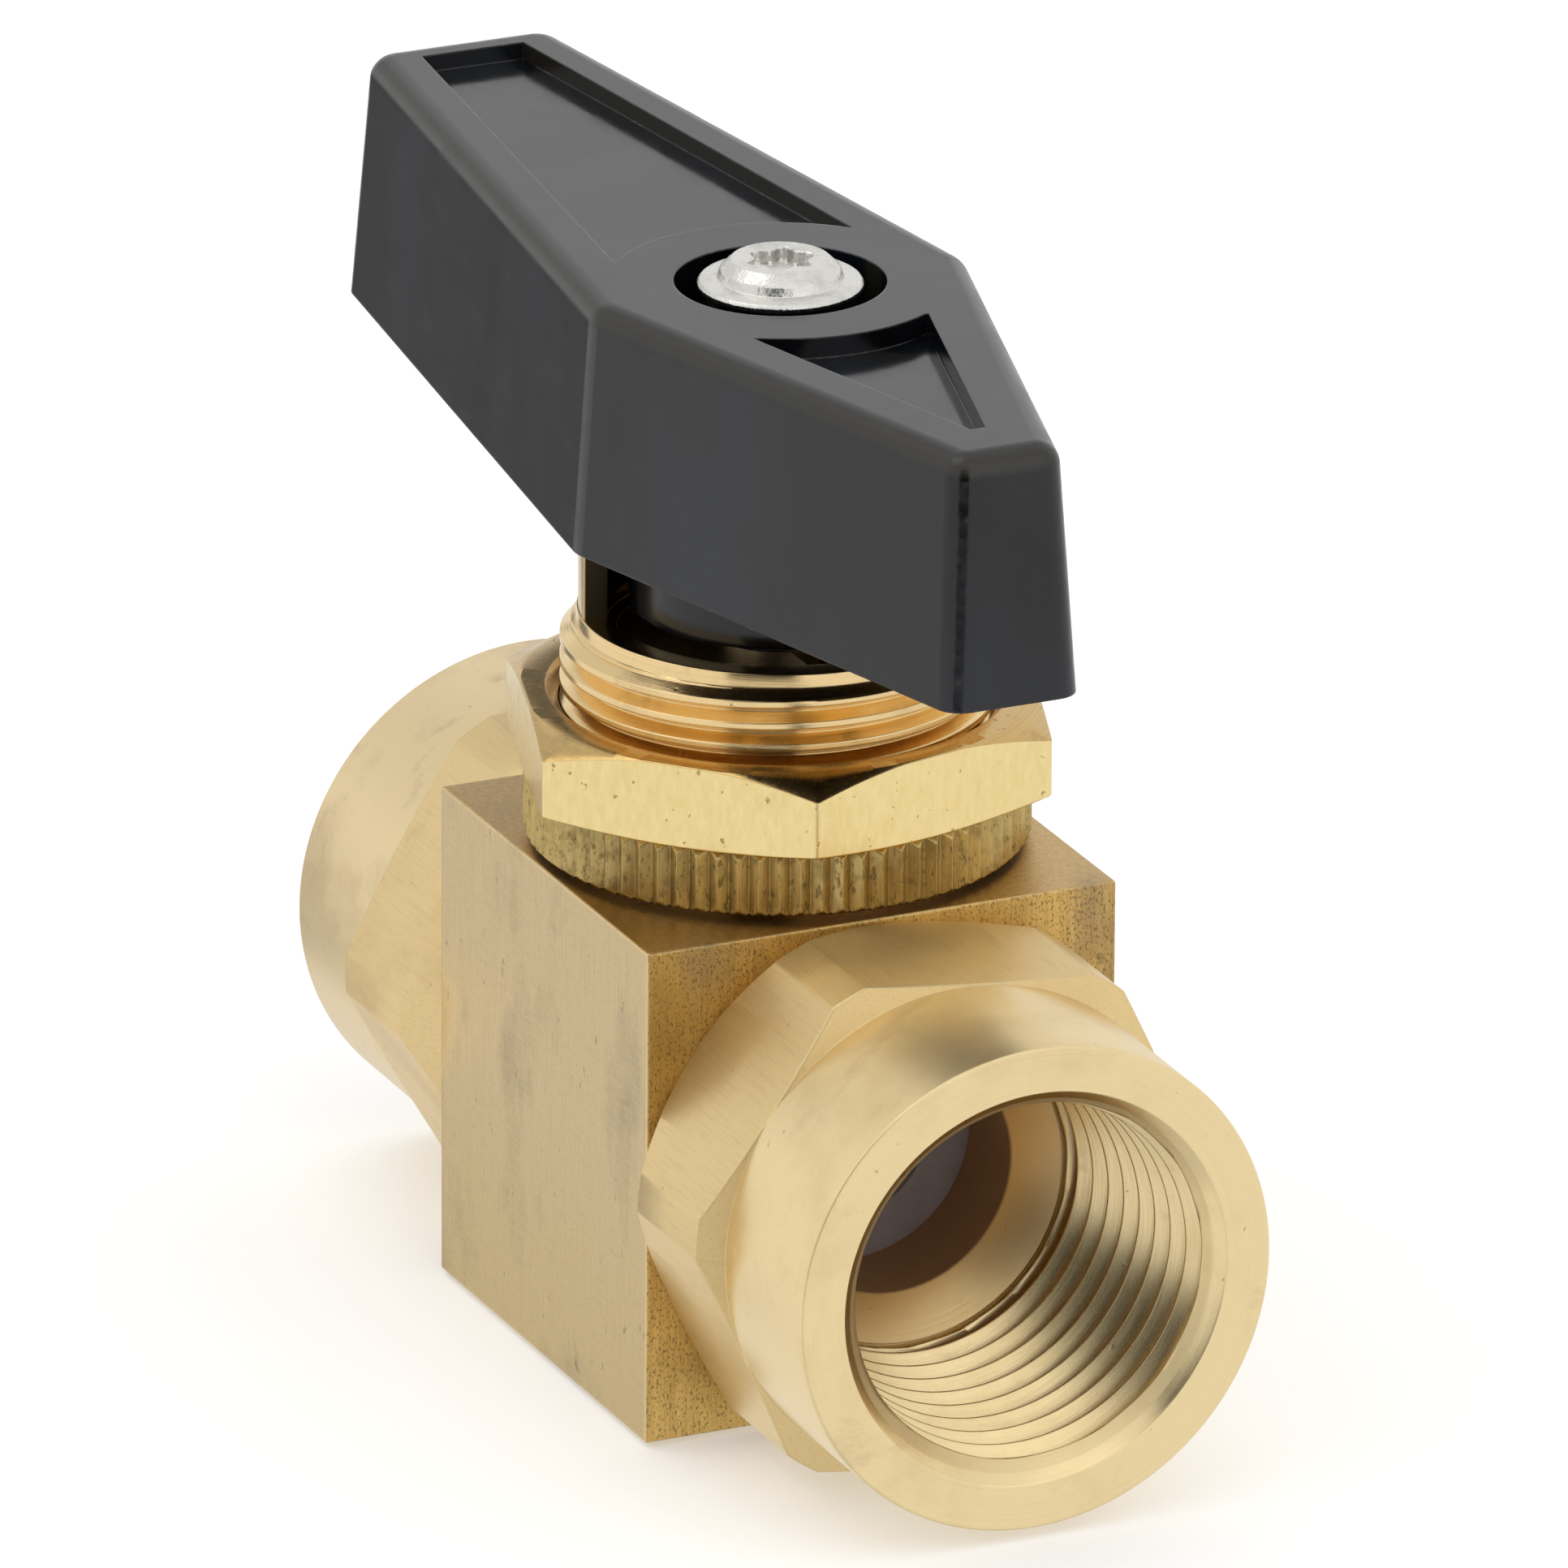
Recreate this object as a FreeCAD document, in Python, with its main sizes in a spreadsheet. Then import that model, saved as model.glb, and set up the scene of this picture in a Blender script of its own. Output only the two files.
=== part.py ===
"""Three way ball valve, millimetres, +Z up the stem, origin at the bottom port's mouth.

The two end ports lie on Y at port_height. A ball with an L-shaped passage joins the bottom
port to one end port at a time, and the handle above turns the ball through the stem.
"""
import FreeCAD, Part
import os
import re
import Sketcher

# Driving dimensions. Stations along the stem are heights above the block's underside, and
# stations along the ports are distances from the block's centre.
DIMENSIONS = {
    # block and its bores
    "block_side": 22.225,
    "block_height": 22.72,
    "port_height": 11.36,
    "cavity_radius": 7.1,
    "seat_radius": 8.5,
    "seat_start": 4.7,
    "spigot_radius": 9.0,
    "spigot_start": 8.4,
    "bottom_port_radius": 4.37,
    # neck and its bores
    "neck_radius": 9.4,
    "neck_top": 33.37,
    "lip_radius": 8.8,
    "lip_start": 32.45,
    "counterbore_radius": 7.6,
    "gland_radius": 7.0,
    "gland_floor": 27.4,
    "packing_radius": 5.0,
    "packing_floor": 22.3,
    "shoulder_room": 4.8,
    "shoulder_ceiling": 20.9,
    # stop wall on the neck and stop lug under the handle
    "stop_outer_radius": 8.7,
    "stop_face": 1.5,
    "stop_top": 36.75,
    "lug_half_width": 1.4,
    "lug_start": 6.0,
    # end connectors
    "connector_end": 27.13,
    "passage_radius": 5.45,
    "passage_end": 12.63,
    "thread_radius": 7.5,
    "thread_floor": 14.03,
    "mouth_radius": 9.0,
    "mouth_chamfer": 1.1,
    "collar_radius": 11.05,
    "collar_start": 19.4,
    "collar_break": 0.25,
    "hexagon_apothem": 11.11,
    "hexagon_corner": 12.35,
    "hexagon_start": 12.85,
    "hexagon_end": 18.9,
    "front_hexagon_turn": -5.65,
    "rear_hexagon_turn": 0,
    "ring_groove_radius": 8.2,
    "ring_groove_start": 10.3,
    "end_ring_section": 0.39,
    # ball and seats
    "ball_radius": 6.75,
    "ball_gap": 0.15,
    "ball_bore": 3.3,
    "ball_bore_down": 4.0,
    "seat_opening": 3.4,
    "slot_half_width": 1.45,
    "slot_half_length": 3.6,
    "slot_floor": 16.2,
    # stem
    "stem_radius": 3.0,
    "stem_gap": 0.06,
    "stem_top": 45.4,
    "stem_drive_start": 34.2,
    "stem_drive_half": 2.3,
    "stem_tap_floor": 36.5,
    "shoulder_radius": 4.6,
    "shoulder_start": 18.7,
    "shoulder_end": 20.2,
    "washer_start": 20.25,
    "tang_half_width": 1.4,
    "tang_half_length": 3.45,
    "tang_bottom": 16.3,
    # stem seals
    "stem_ring_section": 0.94,
    "packing_start": 24.25,
    "packing_pitch": 0.95,
    "packing_vee": 0.5,
    "follower_step": 27.5,
    "follower_flange_radius": 6.6,
    "follower_top": 28.3,
    "spring_height": 0.8,
    "spring_thickness": 0.4,
    "spring_bore": 3.3,
    "gland_nut_start": 29.9,
    "gland_nut_end": 32.3,
    "gland_nut_bore": 3.15,
    "gland_slot_half_width": 0.8,
    "gland_slot_floor": 31.1,
    # panel ring and nut
    "thread_gap": 0.05,
    "panel_ring_radius": 11.08,
    "panel_ring_start": 23.03,
    "panel_ring_end": 25.85,
    "panel_ring_break": 0.25,
    "nut_start": 25.87,
    "nut_end": 29.71,
    "nut_bottom_radius": 10.8,
    "nut_corner_start": 26.38,
    "nut_apothem": 11.1125,
    "nut_corner": 12.83,
    "nut_corner_end": 28.96,
    "nut_top_radius": 11.2,
    "nut_bore_chamfer": 0.45,
    "nut_turn": 13.4,
    # handle
    "handle_bottom": 37.08,
    "handle_top": 48.27,
    "handle_far": 35.71,
    "handle_far_half": 5.11,
    "handle_middle_half": 9.63,
    "handle_nose": 24.47,
    "handle_nose_half": 2.98,
    "handle_draft": 3.94,
    "handle_edge": 1.1,
    "handle_far_corner": 1.4,
    "handle_middle_corner": 2.2,
    "handle_nose_corner": 1.2,
    "boss_radius": 6.5,
    "boss_bottom": 33.67,
    "well_radius": 4.62,
    "well_floor": 44.3,
    "pad_radius": 3.3,
    "pad_top": 48.0,
    "pocket_hub": 7.5,
    "long_pocket_depth": 0.8,
    "long_pocket_far": 33.2,
    "long_pocket_far_half": 2.45,
    "long_pocket_near": 4.9,
    "long_pocket_near_half": 5.65,
    "short_pocket_depth": 0.95,
    "short_pocket_tip": 20.4,
    "short_pocket_tip_half": 0.35,
    "short_pocket_near": 6.4,
    "short_pocket_near_half": 4.1,
    # handle screw
    "flange_radius": 3.63,
    "flange_thickness": 0.45,
    "dome_radius": 2.75,
    "dome_height": 0.86,
    "shoulder_of_dome": 2.45,
    "shoulder_height": 0.5,
    "crown_of_dome": 1.7,
    "recess_radius": 1.45,
    "recess_floor": 48.15,
    "screw_radius": 1.45,
    "screw_bottom": 38.5,
    # how far a cutting tool or a joined piece runs past the face it meets
    "overcut": 1.0,
}

# Edge searches: a smaller height difference than this is a level edge, and an upright edge
# belongs to a corner of the outline when it stands within this distance of it along Y.
LEVEL = 0.01
NEAR_CORNER = 5.0

doc = FreeCAD.newDocument("ThreeWayValve")


def make_sheet():
    """Write the driving dimensions into the sheet, one aliased cell each."""
    dims = doc.addObject("Spreadsheet::Sheet", "Dims")
    for row, (alias, size) in enumerate(DIMENSIONS.items(), start=1):
        dims.set(f"A{row}", alias)
        dims.set(f"B{row}", str(size))
        dims.setAlias(f"B{row}", alias)
    doc.recompute()
    return dims


sheet = make_sheet()


def named(formula):
    """Point each dimension's name in a formula at its cell in the sheet."""
    def cell(match):
        word = match.group(0)
        return f"Dims.{word}" if word in DIMENSIONS else word
    return re.sub(r"[a-z_]+", cell, str(formula))


def number(formula):
    """The present value of a formula, used to lay out a sketch before it is constrained."""
    return float(sheet.evalExpression(named(formula)))


def bind(item, **formulas):
    """Bind an object's properties to formulas over the sheet."""
    for name, formula in formulas.items():
        item.setExpression(name.replace("__", "."), named(formula))
    return item


# ---- sketched features ------------------------------------------------------------------

def outlined_body(label, plane_role, corners):
    """A Body with one closed polygon sketch whose corners are bound to the sheet."""
    body = doc.addObject("PartDesign::Body", label)
    sketch = body.newObject("Sketcher::SketchObject", f"{label}_outline")
    plane = next(item for item in body.Origin.OriginFeatures if item.Role == plane_role)
    sketch.AttachmentSupport = [(plane, "")]
    sketch.MapMode = "FlatFace"
    points = [FreeCAD.Vector(number(across), number(along), 0) for across, along in corners]
    count = len(points)
    for index, point in enumerate(points):
        sketch.addGeometry(Part.LineSegment(point, points[(index + 1) % count]), False)
    for index in range(count):
        following = (index + 1) % count
        sketch.addConstraint(Sketcher.Constraint("Coincident", index, 2, following, 1))
    for index, (point, formulas) in enumerate(zip(points, corners)):
        fix_coordinate(sketch, index, "DistanceX", point.x, formulas[0], -2)
        fix_coordinate(sketch, index, "DistanceY", point.y, formulas[1], -1)
    return body, sketch


def fix_coordinate(sketch, index, kind, length, formula, axis):
    """Hold one coordinate of a corner: on the sketch's axis, or at a bound distance."""
    if formula == "0":
        sketch.addConstraint(Sketcher.Constraint("PointOnObject", index, 1, axis))
        return
    made = sketch.addConstraint(Sketcher.Constraint(kind, -1, 1, index, 1, length))
    sketch.setExpression(f"Constraints[{made}]", named(formula))


def turned(label, corners):
    """A piece turned about Z from (radius, height) corners."""
    body, sketch = outlined_body(label, "XZ_Plane", corners)
    turn = body.newObject("PartDesign::Revolution", f"{label}_turn")
    turn.Profile = sketch
    turn.ReferenceAxis = (sketch, ["V_Axis"])
    turn.Angle = 360
    body.Tip = turn
    return body


def padded(label, corners, base, height, draft=None):
    """An (x, y) outline raised from a base height, with an optional inward draft."""
    body, sketch = outlined_body(label, "XY_Plane", corners)
    bind(sketch, AttachmentOffset__Base__z=base)
    pad = body.newObject("PartDesign::Pad", f"{label}_pad")
    pad.Profile = sketch
    bind(pad, Length=height)
    if draft:
        bind(pad, TaperAngle=f"-({draft})")
    body.Tip = pad
    return body


# ---- primitives and booleans ------------------------------------------------------------

def cylinder(label, radius, low, high):
    solid = doc.addObject("Part::Cylinder", label)
    return bind(solid, Radius=radius, Height=f"{high} - ({low})", Placement__Base__z=low)


def box(label, x, y, z):
    """A box between bound (low, high) pairs on each axis."""
    solid = doc.addObject("Part::Box", label)
    bind(solid, Length=f"{x[1]} - ({x[0]})", Width=f"{y[1]} - ({y[0]})")
    bind(solid, Height=f"{z[1]} - ({z[0]})", Placement__Base__x=x[0])
    return bind(solid, Placement__Base__y=y[0], Placement__Base__z=z[0])


def hexagon(label, apothem, low, high, turn="0"):
    """A hexagonal bar along Z, its first corner turned from +X."""
    bar = doc.addObject("Part::Prism", label)
    bar.Polygon = 6
    bind(bar, Circumradius=f"({apothem}) / cos(30)", Height=f"{high} - ({low})")
    return bind(bar, Placement__Base__z=low, Placement__Rotation__Angle=turn)


def ball(label, radius, height):
    solid = doc.addObject("Part::Sphere", label)
    return bind(solid, Radius=radius, Placement__Base__z=height)


def ring(label, radius, section, height):
    """A round-section ring about Z."""
    solid = doc.addObject("Part::Torus", label)
    return bind(solid, Radius1=radius, Radius2=section, Placement__Base__z=height)


def fused(label, pieces):
    union = doc.addObject("Part::MultiFuse", label)
    union.Shapes = pieces
    return union


def cut(label, base, tool):
    rest = doc.addObject("Part::Cut", label)
    rest.Base = base
    rest.Tool = tool
    return rest


def common(label, first, second):
    shared = doc.addObject("Part::Common", label)
    shared.Base = first
    shared.Tool = second
    return shared


def along_port(item, towards):
    """Lay a piece built on Z along the port axis, its far end at +Y or -Y."""
    tilt = FreeCAD.Rotation(FreeCAD.Vector(1, 0, 0), -90)
    half_turn = FreeCAD.Rotation(FreeCAD.Vector(0, 0, 1), 0 if towards > 0 else 180)
    item.Placement = FreeCAD.Placement(FreeCAD.Vector(), half_turn * tilt)
    return bind(item, Placement__Base__z="port_height")


# ---- the pieces -------------------------------------------------------------------------

def valve_body():
    """Square bar block with the round neck, the stop wall and every bore."""
    half = "block_side / 2"
    block = box("block", (f"-{half}", half), (f"-{half}", half), ("0", "block_height"))
    neck = turned("neck", [
        ("0", "port_height"), ("neck_radius", "port_height"),
        ("neck_radius", "lip_start"), ("lip_radius", "lip_start"), ("lip_radius", "neck_top"),
        ("0", "neck_top"),
    ])
    wall_ring = cylinder("wall_ring", "stop_outer_radius", "gland_nut_end", "stop_top")
    wall_side = box("wall_side", ("-neck_radius", "neck_radius"), ("stop_face", "neck_radius"),
                    ("gland_nut_end", "stop_top"))
    metal = fused("body_metal", [block, neck, common("stop_wall", wall_ring, wall_side)])

    stem_bore = turned("stem_bore", [
        ("0", "port_height"), ("shoulder_room", "port_height"),
        ("shoulder_room", "shoulder_ceiling"), ("stem_radius + stem_gap", "shoulder_ceiling"),
        ("stem_radius + stem_gap", "packing_floor"), ("packing_radius", "packing_floor"),
        ("packing_radius", "gland_floor"), ("gland_radius", "gland_floor"),
        ("gland_radius", "gland_nut_end"), ("counterbore_radius", "gland_nut_end"),
        ("counterbore_radius", "stop_top"), ("0", "stop_top"),
    ])
    cross_bores = [turned(f"cross_bore_{side}", [
        ("0", "0"), ("cavity_radius", "0"), ("cavity_radius", "seat_start"),
        ("seat_radius", "seat_start"), ("seat_radius", "spigot_start"),
        ("spigot_radius", "spigot_start"), ("spigot_radius", "block_side"),
        ("0", "block_side"),
    ]) for side in ("front", "rear")]
    along_port(cross_bores[0], -1)
    along_port(cross_bores[1], 1)
    bottom_bore = cylinder("bottom_bore", "bottom_port_radius", "0", "port_height")
    return cut("body", metal, fused("body_bores", [stem_bore, bottom_bore] + cross_bores))


def end_connector(side, towards):
    """Hexagon, collar and threaded spigot in one, turned from hexagonal bar."""
    profile = turned(f"connector_profile_{side}", [
        ("passage_radius", "spigot_start"), ("spigot_radius", "spigot_start"),
        ("spigot_radius", "ring_groove_start"), ("ring_groove_radius", "ring_groove_start"),
        ("ring_groove_radius", "block_side / 2"), ("collar_radius", "block_side / 2"),
        ("hexagon_corner", "hexagon_start"), ("hexagon_corner", "hexagon_end"),
        ("collar_radius", "collar_start"), ("collar_radius", "connector_end - collar_break"),
        ("collar_radius - collar_break", "connector_end"), ("mouth_radius", "connector_end"),
        ("thread_radius", "connector_end - mouth_chamfer"), ("thread_radius", "thread_floor"),
        ("passage_radius", "passage_end"),
    ])
    bar = hexagon(f"connector_bar_{side}", "hexagon_apothem", "0", "connector_end",
                  f"{side}_hexagon_turn")
    return along_port(common(f"end_connector_{side}", profile, bar), towards)


def connector_ring(side, towards):
    """O-ring between a connector's groove and the block's bore."""
    middle = "(ring_groove_radius + spigot_radius) / 2"
    station = "(ring_groove_start + block_side / 2) / 2"
    seal = ring(f"connector_o_ring_{side}", middle, "end_ring_section", "0")
    along_port(seal, towards)
    return bind(seal, Placement__Base__y=f"({station}) * {towards}")


def ball_seat(side, towards):
    """Ring with a spherical face that stands just off the ball."""
    blank = turned(f"seat_blank_{side}", [
        ("seat_opening", "seat_start"), ("seat_radius", "seat_start"),
        ("seat_radius", "spigot_start"), ("seat_opening", "spigot_start"),
    ])
    hollow = ball(f"seat_hollow_{side}", "ball_radius + ball_gap", "0")
    return along_port(cut(f"ball_seat_{side}", blank, hollow), towards)


def valve_ball():
    """Sphere with an elbow passage from its bottom to the rear, and a slot for the tang."""
    sphere = ball("ball_sphere", "ball_radius", "port_height")
    down = cylinder("ball_passage_down", "ball_bore_down", "port_height - ball_radius",
                    "port_height")
    elbow = ball("ball_elbow", "ball_bore_down", "port_height")
    rear = cylinder("ball_passage_rear", "ball_bore", "0", "ball_radius")
    along_port(rear, 1)
    slot = box("ball_slot", ("-slot_half_width", "slot_half_width"),
               ("-slot_half_length", "slot_half_length"),
               ("slot_floor", "port_height + ball_radius"))
    return cut("ball", sphere, fused("ball_passage", [down, elbow, rear, slot]))


def stem():
    """Tang, retaining shoulder, round rod and a two-flat drive with a tapped end."""
    rod = turned("stem_rod", [
        ("0", "shoulder_start"), ("shoulder_radius", "shoulder_start"),
        ("shoulder_radius", "shoulder_end"), ("stem_radius", "shoulder_end"),
        ("stem_radius", "stem_top"), ("screw_radius", "stem_top"),
        ("screw_radius", "stem_tap_floor"), ("0", "stem_tap_floor"),
    ])
    tang = box("stem_tang", ("-tang_half_width", "tang_half_width"),
               ("-tang_half_length", "tang_half_length"), ("tang_bottom", "shoulder_start"))
    flats = [box(f"stem_flat_{index}", (low, high), ("-stem_radius", "stem_radius"),
                 ("stem_drive_start", "stem_top"))
             for index, (low, high) in enumerate([
                 ("stem_drive_half", "stem_radius"), ("-stem_radius", "-stem_drive_half")])]
    return cut("stem", fused("stem_metal", [rod, tang]), fused("stem_flats", flats))


def stem_seals():
    """Thrust washer, O-ring, two nested packing rings and the follower that loads them."""
    bore = "stem_radius + stem_gap"
    middle = "(stem_radius + stem_gap + packing_radius) / 2"
    washer = turned("stem_thrust_washer", [
        (bore, "washer_start"), ("shoulder_room", "washer_start"),
        ("shoulder_room", "shoulder_ceiling"), (bore, "shoulder_ceiling"),
    ])
    seal = ring("stem_o_ring", middle, "stem_ring_section", "packing_floor + stem_ring_section")
    first = "packing_start + packing_pitch"
    second = "packing_start + 2 * packing_pitch"
    lower = turned("packing_ring_lower", [
        (bore, "packing_start"), ("packing_radius", "packing_start"),
        ("packing_radius", first), (middle, f"{first} + packing_vee"), (bore, first),
    ])
    upper = turned("packing_ring_upper", [
        (bore, first), (middle, f"{first} + packing_vee"), ("packing_radius", first),
        ("packing_radius", second), (middle, f"{second} + packing_vee"), (bore, second),
    ])
    follower = turned("packing_follower", [
        (bore, second), (middle, f"{second} + packing_vee"), ("packing_radius", second),
        ("packing_radius", "follower_step"), ("follower_flange_radius", "follower_step"),
        ("follower_flange_radius", "follower_top"), (bore, "follower_top"),
    ])
    return [washer, seal, lower, upper, follower]


def disc_springs():
    """Two cone springs, their inner edges together, between the follower and the gland nut."""
    outer = "follower_flange_radius"
    meeting = "follower_top + spring_height"
    top = "follower_top + 2 * spring_height"
    lower = turned("disc_spring_lower", [
        (outer, "follower_top"), (outer, "follower_top + spring_thickness"),
        ("spring_bore", meeting), ("spring_bore", f"{meeting} - spring_thickness"),
    ])
    upper = turned("disc_spring_upper", [
        ("spring_bore", meeting), ("spring_bore", f"{meeting} + spring_thickness"),
        (outer, top), (outer, f"{top} - spring_thickness"),
    ])
    return [lower, upper]


def gland_nut():
    """Threaded ring with a driver slot across its top."""
    blank = turned("gland_blank", [
        ("gland_nut_bore", "gland_nut_start"), ("gland_radius", "gland_nut_start"),
        ("gland_radius", "gland_nut_end"), ("gland_nut_bore", "gland_nut_end"),
    ])
    slot = box("gland_slot", ("-gland_slot_half_width", "gland_slot_half_width"),
               ("-gland_radius", "gland_radius"), ("gland_slot_floor", "gland_nut_end"))
    return cut("gland_nut", blank, slot)


def panel_ring():
    """Round ring below the panel nut, in a running fit on the neck."""
    bore = "neck_radius + thread_gap"
    rim = "panel_ring_radius - panel_ring_break"
    return turned("knurled_panel_ring", [
        (bore, "panel_ring_start"), (rim, "panel_ring_start"),
        ("panel_ring_radius", "panel_ring_start + panel_ring_break"),
        ("panel_ring_radius", "panel_ring_end - panel_ring_break"),
        (rim, "panel_ring_end"), (bore, "panel_ring_end"),
    ])


def panel_nut():
    """Hexagonal nut, its corners chamfered above and below, in a running fit on the neck."""
    bore = "neck_radius + thread_gap"
    profile = turned("nut_profile", [
        (bore, "nut_start"), ("nut_bottom_radius", "nut_start"),
        ("nut_corner", "nut_corner_start"), ("nut_corner", "nut_corner_end"),
        ("nut_top_radius", "nut_end"), (f"{bore} + nut_bore_chamfer", "nut_end"),
        (bore, "nut_end - nut_bore_chamfer"),
    ])
    bar = hexagon("nut_bar", "nut_apothem", "nut_start", "nut_end", "nut_turn")
    return common("panel_hex_nut", profile, bar)


def find_edges(solid, keep):
    """Names of the edges whose two ends pass a test."""
    return [f"Edge{index}" for index, edge in enumerate(solid.Shape.Edges, start=1)
            if len(edge.Vertexes) == 2 and keep(*(vertex.Point for vertex in edge.Vertexes))]


def round_edges(body, label, keep, radius):
    """Fillet the chosen edges of a Body's last feature with a bound radius."""
    doc.recompute()
    last = body.Tip
    fillet = body.newObject("PartDesign::Fillet", label)
    fillet.Base = (last, find_edges(last, keep))
    bind(fillet, Radius=radius)
    body.Tip = fillet


def handle_bar():
    """Drafted six-sided bar with rounded corners and a rounded top edge."""
    bar = padded("handle_bar", [
        ("handle_far_half", "handle_far"), ("-handle_far_half", "handle_far"),
        ("-handle_middle_half", "0"), ("-handle_nose_half", "-handle_nose"),
        ("handle_nose_half", "-handle_nose"), ("handle_middle_half", "0"),
    ], "handle_bottom", "handle_top - handle_bottom", "handle_draft")

    def upright_at(station):
        middle = number(station)
        return lambda a, b: (abs(a.z - b.z) > LEVEL
                             and abs((a.y + b.y) / 2 - middle) < NEAR_CORNER)

    round_edges(bar, "far_corners", upright_at("handle_far"), "handle_far_corner")
    round_edges(bar, "middle_corners", upright_at("0"), "handle_middle_corner")
    round_edges(bar, "nose_corners", upright_at("-handle_nose"), "handle_nose_corner")
    top = number("handle_top")
    round_edges(bar, "top_edge", lambda a, b: min(a.z, b.z) > top - LEVEL, "handle_edge")
    return bar


def handle_pocket(label, corners, depth):
    """Shallow recess in the handle's top whose inner end follows the hub."""
    floor = f"handle_top - {depth}"
    blank = padded(f"{label}_blank", corners, floor, f"2 * {depth}")
    hub = cylinder(f"{label}_hub", "pocket_hub", floor, "handle_top + overcut")
    return cut(label, blank, hub)


def handle():
    """Two-armed lever with the hub boss, the stop lug, two recesses and the screw's well."""
    inside = "handle_bottom + overcut"
    boss = cylinder("handle_boss", "boss_radius", "boss_bottom", inside)
    lug_reach = cylinder("lug_reach", "stop_outer_radius", "boss_bottom", inside)
    lug_bar = box("lug_bar", ("lug_start", "stop_outer_radius"),
                  ("-lug_half_width", "lug_half_width"), ("boss_bottom", inside))
    solid = fused("handle_solid", [handle_bar(), boss, common("stop_lug", lug_reach, lug_bar)])

    long_pocket = handle_pocket("long_pocket", [
        ("long_pocket_far_half", "long_pocket_far"), ("-long_pocket_far_half", "long_pocket_far"),
        ("-long_pocket_near_half", "long_pocket_near"),
        ("long_pocket_near_half", "long_pocket_near"),
    ], "long_pocket_depth")
    short_pocket = handle_pocket("short_pocket", [
        ("-short_pocket_near_half", "-short_pocket_near"),
        ("-short_pocket_tip_half", "-short_pocket_tip"),
        ("short_pocket_tip_half", "-short_pocket_tip"),
        ("short_pocket_near_half", "-short_pocket_near"),
    ], "short_pocket_depth")
    over = "handle_top + overcut"
    well = turned("screw_well", [
        ("pad_radius", "well_floor"), ("well_radius", "well_floor"),
        ("well_radius", over), ("0", over), ("0", "pad_top"),
        ("pad_radius", "pad_top"),
    ])
    socket_round = cylinder("socket_round", "stem_radius", "boss_bottom", "stem_top")
    socket_flats = box("socket_flats", ("-stem_drive_half", "stem_drive_half"),
                       ("-stem_radius", "stem_radius"), ("boss_bottom", "stem_top"))
    socket_drive = common("socket_drive", socket_round, socket_flats)
    socket_mouth = cylinder("socket_mouth", "stem_radius", "boss_bottom", "stem_drive_start")
    screw_hole = cylinder("screw_hole", "screw_radius", "boss_bottom", over)
    removed = [long_pocket, short_pocket, well, socket_drive, socket_mouth, screw_hole]
    return cut("handle", solid, fused("handle_removed", removed))


def handle_screw():
    """Flanged screw with a low dome head and a six-sided recess."""
    seat = "pad_top + flange_thickness"
    metal = turned("screw_metal", [
        ("0", "screw_bottom"), ("screw_radius", "screw_bottom"), ("screw_radius", "pad_top"),
        ("flange_radius", "pad_top"), ("flange_radius", seat), ("dome_radius", seat),
        ("shoulder_of_dome", f"{seat} + shoulder_height"),
        ("crown_of_dome", f"{seat} + dome_height"), ("0", f"{seat} + dome_height"),
    ])
    recess = hexagon("screw_recess", "recess_radius * cos(30)", "recess_floor",
                     f"{seat} + dome_height")
    return cut("handle_screw", metal, recess)


def build():
    """Make every piece, in order from the block outwards."""
    pieces = [valve_body(), valve_ball(), stem()]
    for side, towards in (("front", -1), ("rear", 1)):
        pieces.append(end_connector(side, towards))
        pieces.append(connector_ring(side, towards))
        pieces.append(ball_seat(side, towards))
    pieces += stem_seals() + disc_springs()
    pieces += [gland_nut(), panel_ring(), panel_nut(), handle(), handle_screw()]
    doc.recompute()
    return pieces


def check(pieces):
    """Stop on any failed object or unsound piece before a file is written."""
    failed = [item.Name for item in doc.Objects
              if "Invalid" in item.State or "Error" in item.State]
    if failed:
        raise RuntimeError(f"failed objects: {failed}")
    for piece in pieces:
        if piece.Shape.isNull() or not piece.Shape.isValid() or len(piece.Shape.Solids) != 1:
            raise RuntimeError(f"unsound piece: {piece.Label}")


def export(pieces):
    """Write each piece to its own file, named after its label."""
    os.makedirs("parts", exist_ok=True)
    for piece in pieces:
        bounds = piece.Shape.optimalBoundingBox()
        piece.Shape.exportStep(f"parts/{piece.Label}.step")
        print(f"{piece.Label:24s} {piece.Shape.Volume:9.1f} mm3  "
              f"x {bounds.XMin:7.2f} {bounds.XMax:7.2f}  y {bounds.YMin:7.2f} {bounds.YMax:7.2f}  "
              f"z {bounds.ZMin:6.2f} {bounds.ZMax:6.2f}")


valve_pieces = build()
check(valve_pieces)
export(valve_pieces)
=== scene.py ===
import math

import bmesh
import bpy
import numpy as np
from mathutils import Matrix, Vector


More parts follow.
